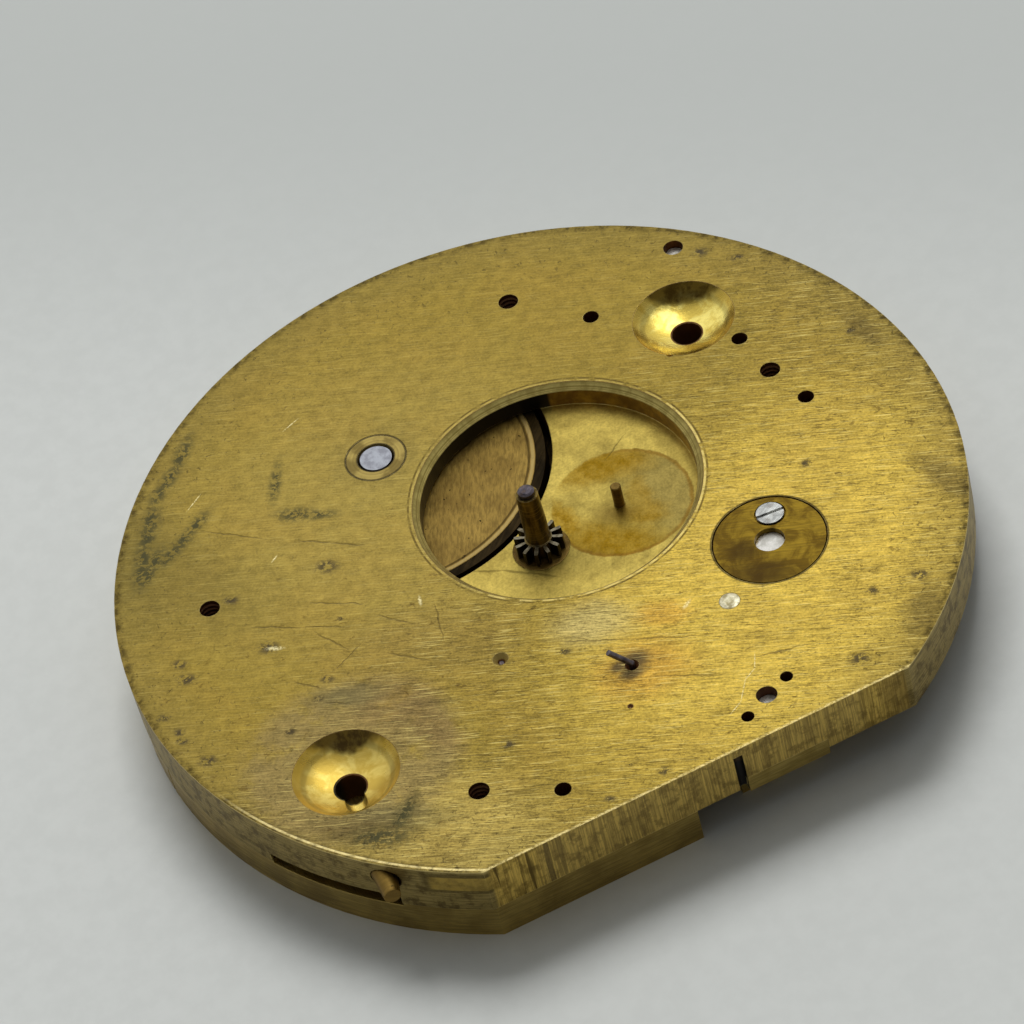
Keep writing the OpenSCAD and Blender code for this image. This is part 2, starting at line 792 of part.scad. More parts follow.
module centre_bridge() {
    color([0.74, 0.61, 0.28])
    difference() {
        union() {
            between(bar_depth, back_depth) centre_bar_outline(0);
            between(plate_t, back_depth)
                difference() {
                    centre_bar_outline(0);
                    circle(bar_foot_inner);
                }
        }
        post(centre_at, centre_pivot_r + fit, 0, back_depth);
        post(centre_at, 1.4, oil_sink_depth, back_depth + over);
        bridge_screw_hole(screw_places[2]);
        for (i = [2, 3])
            bridge_pin_hole(steady_places[i]);
    }
}

stud_turn = 205;
stud_post_r = 0.2;
stud_r = hairspring_r + hairspring_t / 2 + stud_post_r + 0.02;
stud_at = balance_at + stud_r * [cos(stud_turn), sin(stud_turn)];
cock_boss_r = 2;
cock_root_at = [5.2, -15.6];
cock_root_r = 1.9;
foot_set_back = 1.4;
upper_jewel_r = 0.45;
cap_r = 1.05;
cap_screw_r = 0.14;
module cock_arm_outline() {
    link(balance_at, cock_boss_r, cock_root_at, cock_root_r);
    link(balance_at, 1.2, stud_at, 0.5);
}

// The part of the cock that stands back from the sawn flat
module behind_flat() {
    difference() {
        children();
        translate([-plate_r, -flat_y + foot_set_back - plate_r])
            square([2 * plate_r, plate_r]);
    }
}

module balance_cock() {
    color([0.74, 0.61, 0.28])
    difference() {
        union() {
            between(seat_top, seat_low) cock_foot_lip();
            between(seat_top, back_depth) behind_flat() cock_seat(0);
            between(arm_top, arm_low) behind_flat() cock_arm_outline();
        }
        post(cock_screw_at, screw_r + screw_hole_gap, 0, back_depth + over);
        post(cock_screw_at, cock_head_r + screw_hole_gap, screw_sink, back_depth + over);
        for (at = cock_steady_places)
            post(at, small_steady_r + seat_gap, 0, back_depth + over);
        post(balance_at, upper_jewel_r + seat_gap, 0, back_depth);
        post(stud_at, stud_post_r + seat_gap, 0, back_depth);
        for (side = [-1, 1])
            post(cap_screw_place(side), cap_screw_r + seat_gap, arm_top - over, back_depth);
    }
}

// The foot's thin lip reaches the sawn flat; the rest stands back from it
module cock_foot_lip() {
    intersection() {
        cock_seat(0);
        plate_outline(plate_r);
    }
}

small_foot_r = 1.3;
small_pin_boss_r = 0.75;
pallet_boss_r = 0.95;
escape_boss_r = 0.85;
small_head_gap = 0.02;
module escapement_cock() {
    color([0.76, 0.64, 0.32])
    difference() {
        union() {
            between(cock_top, cock_low) difference() {
                union() {
                    link(escapement_screw_at, small_foot_r, pallet_at, pallet_boss_r);
                    link(pallet_at, pallet_boss_r, escape_at, escape_boss_r);
                }
                circle(centre_tip + pocket_gap - 0.04);
            }
            between(plate_t, cock_low)
                link(escapement_steady_places[0], small_pin_boss_r,
                    escapement_steady_places[1], small_pin_boss_r);
            between(plate_t, cock_low)
                difference() {
                    translate(escapement_screw_at) circle(small_foot_r);
                    escapement_pocket();
                }
        }
        post(escapement_screw_at, small_screw_r + screw_hole_gap, 0, back_depth);
        post(escapement_screw_at, small_head_r + arbor_gap,
            cock_low - small_head_t - small_head_gap - 0.01, back_depth);
        for (at = escapement_steady_places)
            post(at, small_pin_r + seat_gap, 0, back_depth);
        for (at = [pallet_at, escape_at])
            post(at, jewel_r, 0, back_depth);
    }
}

bridge_screw_top = 1.25;
cock_screw_top = 0.6;
head_low = screw_sink + screw_head_h;
cock_head_r = screw_head_r - 0.15;
module bridge_screws() {
    color([0.5, 0.52, 0.58])
    for (i = [0 : len(screw_places) - 1])
        difference() {
            union() {
                post(screw_places[i], screw_r, bridge_screw_top, screw_sink + over);
                post(screw_places[i], screw_head_r, screw_sink, head_low);
            }
            screw_slot(screw_places[i], screw_head_r, 35 + 47 * i, head_low);
        }
}

module cock_screws() {
    color([0.5, 0.52, 0.58]) {
        difference() {
            union() {
                post(cock_screw_at, screw_r, cock_screw_top, screw_sink + over);
                post(cock_screw_at, cock_head_r, screw_sink, head_low);
            }
            screw_slot(cock_screw_at, cock_head_r, 70, head_low);
        }
        difference() {
            union() {
                post(escapement_screw_at, small_screw_r, 1.6, cock_low - 0.2);
                post(escapement_screw_at, small_head_r, cock_low - small_head_t - small_head_gap,
                    cock_low - small_head_gap);
            }
            screw_slot(escapement_screw_at, small_head_r, 15, cock_low - small_head_gap);
        }
    }
}

module steady_pins() {
    pin_low = back_depth - 0.15;
    pin_top = blind_pin_top + 0.15;
    color([0.6, 0.5, 0.25]) {
        for (at = steady_places)
            post(at, steady_r, pin_top, pin_low);
        for (at = cock_steady_places)
            post(at, small_steady_r, blind_pin_top, pin_low);
        for (at = escapement_steady_places)
            post(at, small_pin_r, 2, cock_low - 0.03);
    }
}

// Lever line from the pallet arbor to the balance staff
lever_turn = direction(pallet_at, balance_at);
escape_turn = direction(pallet_at, escape_at);
lever_half = 0.2;
banking_r = 0.15;
banking_top = 1.4;
banking_reach = 2.35;
banking_side = lever_half + banking_reach * sin(lever_swing) + banking_r + 0.06;
function banking_place(side) = pallet_at + [
    banking_reach * cos(lever_turn) - side * banking_side * sin(lever_turn),
    banking_reach * sin(lever_turn) + side * banking_side * cos(lever_turn)];

module banking_pins() {
    color([0.6, 0.6, 0.62])
    for (side = [-1, 1])
        post(banking_place(side), banking_r, banking_top, escape_top + wheel_t + 0.08);
}

module ring(at, r, bore, top, low) {
    difference() {
        post(at, r, top, low);
        post(at, bore, top - over, low + over);
    }
}

module escapement_jewels() {
    set_r = jewel_r - seat_gap / 2;
    color([0.75, 0.15, 0.25]) {
        ring(escape_at, set_r, fine_pivot_r + fit, escape_ceiling - jewel_t, escape_ceiling);
        for (at = [pallet_at, escape_at])
            ring(at, set_r, fine_pivot_r + fit, cock_top + seat_gap, cock_top + seat_gap + jewel_t);
    }
}

module upper_balance_jewel() {
    color([0.75, 0.15, 0.25])
        ring(balance_at, upper_jewel_r, staff_pivot_r + fit, arm_top + 0.1, arm_low - 0.05);
}

upper_stone_r = 0.42;
cap_low = back_depth - 0.1;
module upper_endstone() {
    color([0.8, 0.3, 0.35])
        post(balance_at, upper_stone_r, arm_low + 0.01, cap_low - 0.02);
}

function cap_screw_place(side) = balance_at
    + side * 0.76 * [cos(lever_turn + 60), sin(lever_turn + 60)];

module endstone_cap() {
    color([0.7, 0.7, 0.72])
    difference() {
        post(balance_at, cap_r, arm_low, cap_low);
        post(balance_at, upper_stone_r + seat_gap, 0, back_depth);
        for (side = [-1, 1])
            post(cap_screw_place(side), cap_screw_r + seat_gap, 0, back_depth);
    }
}

module endstone_cap_screws() {
    color([0.5, 0.52, 0.58])
    for (side = [-1, 1])
        post(cap_screw_place(side), cap_screw_r, arm_top + 0.05, cap_low + 0.04);
}

curb_turn = stud_turn - 50;
curb_spread = 0.18;
index_fit = 0.06;
index_ring_w = 0.69;
index_root_r = 0.5;
index_tail_l = 6.2;
index_tail_r = 0.16;
index_curb_r = 0.36;
module regulator() {
    ring_in = cap_r + index_fit;
    curb_tip = balance_at + (hairspring_r + 0.1) * [cos(curb_turn), sin(curb_turn)];
    tail_tip = balance_at - index_tail_l * [cos(curb_turn), sin(curb_turn)];
    color([0.72, 0.73, 0.75])
    difference() {
        between(index_top, index_top + index_t)
            difference() {
                union() {
                    translate(balance_at) circle(ring_in + index_ring_w);
                    link(balance_at, index_root_r, curb_tip, index_curb_r);
                    link(balance_at, index_root_r, tail_tip, index_tail_r);
                }
                translate(balance_at) circle(ring_in);
            }
        for (side = [-1, 1])
            post(curb_place(side), curb_r, 0, back_depth);
    }
}

curb_r = 0.07;
function curb_place(side) = balance_at
    + (hairspring_r + side * curb_spread) * [cos(curb_turn), sin(curb_turn)];

module curb_pins() {
    color([0.75, 0.62, 0.3])
    for (side = [-1, 1])
        post(curb_place(side), curb_r, hairspring_top - 0.02, index_top + index_t);
}

module hairspring_stud() {
    color([0.6, 0.6, 0.64])
        post(stud_at, stud_post_r, hairspring_top, arm_low);
}

// A flat spiral ribbon of even thickness, as a strip of short straight pieces
module spiral_ribbon(r_in, r_out, turns, thick, start, steps) {
    function mid_r(a) = r_in + (r_out - r_in) * a / (360 * turns);
    polygon(concat(
        [for (i = [steps : -1 : 0]) let(a = i * 360 * turns / steps)
            (mid_r(a) - thick / 2) * [cos(start + a), sin(start + a)]],
        [for (i = [0 : steps]) let(a = i * 360 * turns / steps)
            (mid_r(a) + thick / 2) * [cos(start + a), sin(start + a)]]));
}

collet_r = 0.72;
collet_slit = 0.1;
hairspring_arc = 96;
module hairspring() {
    steps = hairspring_turns * 28;
    arc_steps = 12;
    arc_step = hairspring_arc / arc_steps;
    arc_from = stud_turn + 4 - hairspring_arc;
    arc_lap = 0.3;
    function arc_point(r, i) = r * [cos(arc_from - arc_lap + i * arc_step),
        sin(arc_from - arc_lap + i * arc_step)];
    color([0.2, 0.28, 0.5])
    between(hairspring_top, hairspring_top + hairspring_h)
        translate(balance_at) {
            rotate(arc_from)
                spiral_ribbon(collet_r + 0.02 + hairspring_t / 2, hairspring_r, hairspring_turns,
                    hairspring_t, 0, steps);
            polygon(concat(
                [for (i = [arc_steps : -1 : 0]) arc_point(hairspring_r - hairspring_t / 2, i)],
                [for (i = [0 : arc_steps]) arc_point(hairspring_r + hairspring_t / 2, i)]));
        }
}

ratchet_low = ratchet_top + ratchet_t;
module click_screw() {
    color([0.5, 0.52, 0.58])
    for (at = [click_at, click_spring_at])
        difference() {
            union() {
                post(at, click_screw_r, plate_t + 0.6, ratchet_low + 0.04);
                post(at, click_head_r, ratchet_low + 0.03, back_depth - 0.12);
            }
            screw_slot(at, click_head_r, 60, back_depth - 0.12);
        }
}

module click_spring() {
    color([0.5, 0.52, 0.58])
    difference() {
        between(ratchet_top, ratchet_low) {
            translate(click_spring_at) circle(click_boss_r);
            link(click_spring_at, 0.3, from_barrel(spring_knee), 0.12);
            link(from_barrel(spring_knee), 0.12, from_barrel(spring_elbow), 0.1);
            link(from_barrel(spring_elbow), 0.1, from_barrel(spring_tip), 0.1);
        }
        post(click_spring_at, click_screw_r + 0.03, 0, back_depth);
    }
}

// The click stands just clear of the ratchet's tips, so that each can be moved alone
module click() {
    color([0.62, 0.63, 0.66])
    difference() {
        between(ratchet_top, ratchet_low) {
            translate(click_at) circle(click_boss_r);
            polygon([for (p = [click_nose, click_back, click_side, click_heel]) from_barrel(p)]);
        }
        post(click_at, click_screw_r + fit, 0, back_depth);
    }
}

module ratchet_wheel() {
    step = 360 / ratchet_count;
    color([0.66, 0.67, 0.7])
    difference() {
        between(ratchet_top, ratchet_low)
            translate(barrel_at)
                difference() {
                    polygon([for (i = [0 : ratchet_count - 1])
                        for (corner = [[0, ratchet_pitch_r], [0.12, ratchet_tip], [0.3, ratchet_tip]])
                            corner[1] * [cos((i + corner[0]) * step), sin((i + corner[0]) * step)]]);
                    square(winding_square + 0.04, center = true);
                }
    }
}

hub_r = 1.3;
hub_play = 0.03;
spring_play = 0.06;
square_low = back_depth - 0.05;
module barrel_arbor() {
    color([0.62, 0.61, 0.64]) {
        post(barrel_at, barrel_pivot_r, 0.04, ratchet_sink);
        post(barrel_at, hub_r, lid_depth + lid_t + hub_play,
            barrel_low - barrel_floor_t - hub_play);
        between(ratchet_sink, square_low)
            translate(barrel_at) square(winding_square, center = true);
    }
}

module barrel_drum() {
    inside = barrel_r - barrel_wall;
    color([0.7, 0.6, 0.32])
    difference() {
        union() {
            post(barrel_at, barrel_r, lid_depth, barrel_low);
            between(flange_top, barrel_low)
                translate(barrel_at)
                    wheel_teeth(barrel_teeth, barrel_pitch, direction(barrel_at, centre_at));
        }
        post(barrel_at, inside, 0, barrel_low - barrel_floor_t);
        post(barrel_at, barrel_pivot_r + fit, 0, back_depth);
    }
}

module barrel_lid() {
    color([0.55, 0.44, 0.24])
        ring(barrel_at, barrel_r - barrel_wall - seat_gap, barrel_pivot_r + fit, lid_depth,
            lid_depth + lid_t);
}

module mainspring() {
    color([0.3, 0.32, 0.36])
    between(lid_depth + lid_t + spring_play, barrel_low - barrel_floor_t - spring_play)
        translate(barrel_at)
            spiral_ribbon(hub_r + spring_play + mainspring_t / 2,
                barrel_r - barrel_wall - spring_play - mainspring_t / 2,
                mainspring_turns, mainspring_t, 30, mainspring_turns * 36);
}

module centre_wheel() {
    color([0.8, 0.66, 0.3])
    between(centre_wheel_top, centre_wheel_top + wheel_t)
        crossed_wheel(centre_teeth, centre_pitch, direction(centre_at, third_at), 5, 1.5,
            centre_seat_r + seat_gap);
}

// A wheel's seat on its pinion runs past the wheel by the collar
centre_seat_r = 0.8;
third_seat_r = 0.5;
fourth_seat_r = 0.42;
escape_seat_r = 0.4;
collar = 0.05;
module centre_pinion() {
    color([0.55, 0.55, 0.58])
    difference() {
        union() {
            post(centre_at, centre_pivot_r, recess_depth + 0.02, oil_sink_depth);
            between(flange_top - 0.08, centre_wheel_top)
                pinion_leaves(centre_leaves, centre_pinion_pitch, direction(centre_at, barrel_at));
            post(centre_at, centre_seat_r, centre_wheel_top - 0.01,
                centre_wheel_top + wheel_t + collar);
        }
        post(centre_at, centre_bore, 0, back_depth);
    }
}

// The arbor's end stands out of the cannon pinion's tube and is rounded off
setting_out = 0.24;
setting_round = 0.13;
module setting_arbor() {
    shank_top = -cannon_top - setting_out;
    shank_low = oil_sink_depth + 0.05;
    color([0.5, 0.48, 0.54]) {
        post(centre_at, setting_r, shank_top, shank_low);
        cone(centre_at, setting_r - setting_round, setting_r, shank_top - 0.1, shank_top);
        between(shank_low, square_low) square(setting_square, center = true);
    }
}

cannon_taper = 0.06;
cannon_straight = 0.8;
cannon_low = recess_depth - 0.06;
cannon_leaf_h = 0.8;
cannon_leaf_add = 0.2;
module cannon_pinion() {
    color([0.42, 0.36, 0.24])
    difference() {
        union() {
            post(centre_at, cannon_r, -cannon_straight, cannon_low);
            cone(centre_at, cannon_r - cannon_taper, cannon_r, -cannon_top, -cannon_straight);
            between(cannon_low - cannon_leaf_h, cannon_low)
                polygon(tooth_points(cannon_leaves, cannon_tip_r - cannon_leaf_add, 1.1, 2,
                    0.36, 0.24));
        }
        post(centre_at, setting_r + seat_gap / 2, -cannon_top - over, back_depth);
    }
}

module third_wheel() {
    color([0.8, 0.66, 0.3])
    between(third_top, third_top + wheel_t)
        translate(third_at)
            crossed_wheel(third_teeth, third_pitch, direction(third_at, fourth_at), 4, 1.25,
                third_seat_r + seat_gap);
}

module third_pinion() {
    color([0.6, 0.6, 0.64]) {
        post(third_at, pivot_r, 0.3, oil_sink_depth - 0.02);
        post(third_at, arbor_r, shoulder, bar_depth - shake);
        post(third_at, third_seat_r, third_top - collar, third_top + wheel_t + collar);
        between(third_top + wheel_t + collar, bar_depth - 0.08)
            translate(third_at)
                pinion_leaves(third_leaves, third_pinion_pitch, direction(third_at, centre_at));
    }
}

module fourth_wheel() {
    color([0.8, 0.66, 0.3])
    between(fourth_top, fourth_top + wheel_t)
        translate(fourth_at)
            crossed_wheel(fourth_teeth, fourth_pitch, direction(fourth_at, escape_at), 4, 1,
                fourth_seat_r + seat_gap);
}

seconds_bend_turn = -18;
module fourth_pinion() {
    bend_at = -0.12;
    color([0.45, 0.44, 0.47]) {
        post(fourth_at, seconds_pivot_r, bend_at, shoulder + collar);
        translate([fourth_at[0], fourth_at[1], -bend_at]) {
            sphere(r = seconds_pivot_r + 0.01);
            rotate([0, -seconds_bend, seconds_bend_turn])
                cylinder(h = seconds_bent_l, r = seconds_pivot_r);
        }
        post(fourth_at, arbor_r, shoulder, bar_depth - shake);
        post(fourth_at, pivot_r, bar_depth - 0.1, oil_sink_depth - 0.02);
        between(third_ceiling + shake, fourth_top - 0.02)
            translate(fourth_at)
                pinion_leaves(fourth_leaves, fourth_pinion_pitch, direction(fourth_at, third_at));
        post(fourth_at, fourth_seat_r, fourth_top - collar, fourth_top + wheel_t + collar);
    }
}

// Club-toothed escape wheel with four arms
escape_tooth_h = 0.62;
escape_arm_w = 0.32;
escape_hub_r = 0.75;
module escape_wheel() {
    step = 360 / escape_teeth;
    root = escape_r - escape_tooth_h;
    color([0.66, 0.67, 0.7])
    between(escape_top, escape_top + wheel_t)
        translate(escape_at)
            difference() {
                polygon([for (i = [0 : escape_teeth - 1])
                    for (corner = [[0, root], [0.34, escape_r - 0.12], [0.4, escape_r],
                            [0.56, escape_r - 0.03], [0.5, escape_r - 0.2], [0.36, root]])
                        corner[1] * [cos((i + corner[0]) * step), sin((i + corner[0]) * step)]]);
                difference() {
                    circle(root - 0.35);
                    circle(escape_hub_r);
                    for (i = [0 : 3])
                        rotate(20 + i * 90)
                            translate([0, -escape_arm_w / 2]) square([root, escape_arm_w]);
                }
                circle(escape_seat_r + seat_gap);
            }
}

module escape_pinion() {
    color([0.6, 0.6, 0.64]) {
        post(escape_at, fine_pivot_r, escape_ceiling - jewel_t - 0.05,
            cock_top + jewel_t + 0.04);
        post(escape_at, small_arbor_r, escape_ceiling + 0.02, cock_top - 0.02);
        post(escape_at, escape_seat_r, escape_top - collar, escape_top + wheel_t + collar);
        between(escape_top + wheel_t + collar, cock_top - 0.04)
            translate(escape_at)
                pinion_leaves(escape_leaves, escape_pinion_pitch, direction(escape_at, fourth_at));
    }
}

// Pallet frame: two arms that hold the stones, and the lever with its fork. The stones stand
// clear of the escape wheel's teeth at each end of the lever's swing, so that either can be
// turned alone.
stone_l = 0.62;
stone_w = 0.24;
stone_turn = 30;
stone_draw = 12;
stone_clear = 0.06;
holder_out = 0.12;
holder_r = 0.36;
pallet_arm_r = 0.34;
pallet_tail_l = 0.9;
pallet_tail_w = 0.28;
stone_swing = pair_distance(pallet_at, escape_at) * sin(stone_turn) * sin(lever_swing);
stone_tip_r = escape_r + stone_clear + stone_swing + stone_w / 2 * sin(stone_draw);
function stone_tip(side) = escape_at + stone_tip_r
    * [cos(escape_turn + 180 - side * stone_turn), sin(escape_turn + 180 - side * stone_turn)];
function stone_axis(side) = escape_turn + 180 - side * (stone_turn - stone_draw);
function stone_middle(side) = stone_tip(side) + stone_l / 2
    * [cos(stone_axis(side)), sin(stone_axis(side))];
function stone_holder(side) = stone_middle(side) + holder_out
    * [cos(stone_axis(side)), sin(stone_axis(side))];
fork_end = 3.32;
fork_notch = 2.95;
fork_horn = 0.42;
fork_slot = 0.19;
pallet_hub_r = 0.5;
pallet_seat_r = 0.24;

module stone_outline(side, gap) {
    translate(stone_middle(side))
        rotate(stone_axis(side))
            translate([-stone_l / 2 - gap, -stone_w / 2 - gap])
                square([stone_l + 2 * gap, stone_w + 2 * gap]);
}

module pallet_fork() {
    color([0.66, 0.67, 0.7])
    between(escape_top, escape_top + wheel_t)
        difference() {
            union() {
                translate(pallet_at) circle(pallet_hub_r);
                for (side = [-1, 1])
                    link(pallet_at, pallet_arm_r, stone_holder(side), holder_r);
                translate(pallet_at)
                    rotate(lever_turn) {
                        translate([0, -lever_half]) square([fork_notch, 2 * lever_half]);
                        translate([fork_notch - 0.25, -fork_horn])
                            square([fork_end - fork_notch + 0.25, 2 * fork_horn]);
                        rotate(192) translate([0, -pallet_tail_w / 2])
                            square([pallet_tail_l, pallet_tail_w]);
                    }
            }
            translate(pallet_at)
                rotate(lever_turn)
                    translate([fork_notch, -fork_slot]) square([1, 2 * fork_slot]);
            translate(pallet_at) circle(pallet_seat_r + seat_gap);
            for (side = [-1, 1])
                stone_outline(side, seat_gap / 2);
        }
}

module pallet_stones() {
    color([0.75, 0.15, 0.25])
    between(escape_top - 0.05, escape_top + wheel_t + 0.05)
        for (side = [-1, 1])
            stone_outline(side, 0);
}

module pallet_arbor() {
    color([0.6, 0.6, 0.64]) {
        post(pallet_at, fine_pivot_r, 1.3, cock_top + jewel_t + 0.04);
        post(pallet_at, small_arbor_r, escape_ceiling + 0.02, cock_top - 0.02);
        post(pallet_at, pallet_seat_r, escape_ceiling + 0.05, cock_top - 0.3);
    }
}

rim_cut_turn = 12;
rim_cut_w = 0.2;
balance_hub_r = 1.2;
balance_arm_w = 0.9;
balance_seat_r = 0.55;
staff_r = 0.28;
balance_screw_r = 0.2;
module balance_wheel() {
    inner = balance_r - balance_rim;
    color([0.78, 0.66, 0.34]) {
        between(balance_top, balance_low)
            translate(balance_at)
                difference() {
                    circle(balance_r);
                    circle(inner);
                    for (i = [0, 1])
                        rotate(lever_turn + rim_cut_turn + i * 180)
                            translate([inner - over, -rim_cut_w / 2]) square([1, rim_cut_w]);
                }
        between(balance_top, balance_top + balance_arm_t)
            translate(balance_at)
                difference() {
                    union() {
                        circle(balance_hub_r);
                        rotate(lever_turn)
                            square([2 * inner + balance_rim / 2, balance_arm_w], center = true);
                    }
                    circle(balance_seat_r + seat_gap);
                }
    }
}

module balance_screws() {
    color([0.82, 0.7, 0.36])
    for (i = [0 : balance_screw_count - 1])
        translate([balance_at[0], balance_at[1], -(balance_top + balance_low) / 2])
            rotate([0, 90, lever_turn + (i + 0.5) * 360 / balance_screw_count])
                translate([0, 0, balance_r + seat_gap])
                    cylinder(h = balance_screw_out, r = balance_screw_r);
}

module balance_staff() {
    color([0.55, 0.55, 0.6]) {
        post(balance_at, staff_pivot_r, endpiece_t + 0.13, arm_low - 0.02);
        post(balance_at, staff_r, 1.05, arm_top - shake);
        post(balance_at, balance_seat_r, balance_top - 0.25, balance_top + balance_arm_t + 0.02);
    }
}

roller_r = 1.4;
crescent_r = 0.32;
impulse_r = 0.15;
impulse_reach = 0.95;
module roller() {
    color([0.66, 0.67, 0.7])
    between(roller_top, roller_top + roller_t)
        translate(balance_at)
            difference() {
                circle(roller_r);
                circle(staff_r + seat_gap / 2);
                rotate(lever_turn + 180) {
                    translate([roller_r + 0.15, 0]) circle(crescent_r);
                    translate([impulse_reach, 0]) circle(impulse_r + seat_gap / 2);
                }
            }
}

module impulse_jewel() {
    place = balance_at - impulse_reach * [cos(lever_turn), sin(lever_turn)];
    color([0.75, 0.15, 0.25])
        post(place, impulse_r, roller_top - 0.12, roller_top + roller_t);
}

module hairspring_collet() {
    color([0.8, 0.68, 0.34])
    difference() {
        ring(balance_at, collet_r, staff_r + seat_gap / 2, hairspring_top - 0.05,
            hairspring_top + hairspring_h);
        translate([balance_at[0], balance_at[1] - collet_slit / 2, -back_depth])
            rotate(40)
                cube([collet_r + over, collet_slit, back_depth]);
    }
}

main_plate();
centre_bush();
barrel_bush();
pallet_bush();
minute_wheel_post();
balance_endpiece();
endpiece_screw();
lower_endstone();
lower_balance_jewel();
dial_foot_pin();
case_screw();
barrel_bridge();
train_bridge();
centre_bridge();
balance_cock();
escapement_cock();
bridge_screws();
cock_screws();
steady_pins();
banking_pins();
escapement_jewels();
upper_balance_jewel();
upper_endstone();
endstone_cap();
endstone_cap_screws();
regulator();
curb_pins();
hairspring_stud();
hairspring();
click_screw();
click_spring();
click();
ratchet_wheel();
barrel_arbor();
barrel_drum();
barrel_lid();
mainspring();
centre_wheel();
centre_pinion();
setting_arbor();
cannon_pinion();
third_wheel();
third_pinion();
fourth_wheel();
fourth_pinion();
escape_wheel();
escape_pinion();
pallet_fork();
pallet_stones();
pallet_arbor();
balance_wheel();
balance_screws();
balance_staff();
roller();
impulse_jewel();
hairspring_collet();
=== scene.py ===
import bpy
import math
from mathutils import Matrix, Vector


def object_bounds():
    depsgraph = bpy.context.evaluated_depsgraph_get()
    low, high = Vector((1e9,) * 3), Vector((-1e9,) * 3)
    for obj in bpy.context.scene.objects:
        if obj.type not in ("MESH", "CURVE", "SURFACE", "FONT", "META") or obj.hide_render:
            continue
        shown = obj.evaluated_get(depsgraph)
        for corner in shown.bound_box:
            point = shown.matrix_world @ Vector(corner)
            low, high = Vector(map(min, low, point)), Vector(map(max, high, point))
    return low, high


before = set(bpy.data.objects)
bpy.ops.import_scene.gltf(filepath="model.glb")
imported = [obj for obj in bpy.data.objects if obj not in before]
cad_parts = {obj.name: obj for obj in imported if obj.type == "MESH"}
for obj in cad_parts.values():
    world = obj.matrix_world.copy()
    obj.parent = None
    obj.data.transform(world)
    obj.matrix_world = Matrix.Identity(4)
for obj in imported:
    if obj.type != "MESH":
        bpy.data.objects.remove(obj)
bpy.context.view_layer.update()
MM = 0.001  # the frame is in metres, and the materials count in mm


# ---- short calls for building node trees ----
class Nodes:
    """A node tree, with short calls for the nodes that the materials and the world use."""

    def __init__(self, tree):
        self.tree = tree
        self.tree.nodes.clear()

    def add(self, kind, inputs=None, out=0, **props):
        n = self.tree.nodes.new(kind)
        for key, value in props.items():
            setattr(n, key, value)
        for key, value in (inputs or {}).items():
            if isinstance(value, bpy.types.NodeSocket):
                self.tree.links.new(value, n.inputs[key])
            else:
                n.inputs[key].default_value = value
        return n.outputs[out]

    def split(self, vector):
        n = self.tree.nodes.new("ShaderNodeSeparateXYZ")
        self.tree.links.new(vector, n.inputs[0])
        return n.outputs

    def math(self, op, a, b=0.0, c=0.0, clamp=False):
        return self.add("ShaderNodeMath", {0: a, 1: b, 2: c}, operation=op, use_clamp=clamp)

    def times(self, a, b):
        return self.math("MULTIPLY", a, b)

    def larger(self, a, b):
        return self.math("MAXIMUM", a, b)

    def plus(self, total, value, share):
        """The total with a share of a value added."""
        return self.math("MULTIPLY_ADD", value, share, total)

    def vary(self, total, noise, share):
        """The total moved up and down as a noise leaves its middle."""
        return self.plus(total, self.math("SUBTRACT", noise, 0.5), share)

    def span(self, value, low, high, to_low=0.0, to_high=1.0):
        """A smooth step from to_low at the value low to to_high at the value high."""
        return self.add("ShaderNodeMapRange", {"Value": value, "From Min": low, "From Max": high,
                                               "To Min": to_low, "To Max": to_high},
                        interpolation_type="SMOOTHSTEP")

    def between(self, value, one_end, other_end):
        """1 between two ends; an end is a pair, the value where it is 0 and where it is 1."""
        return self.times(self.span(value, *one_end), self.span(value, *other_end))

    def dot(self, vector, axis):
        return self.add("ShaderNodeVectorMath", {0: vector, 1: axis}, out="Value",
                        operation="DOT_PRODUCT")


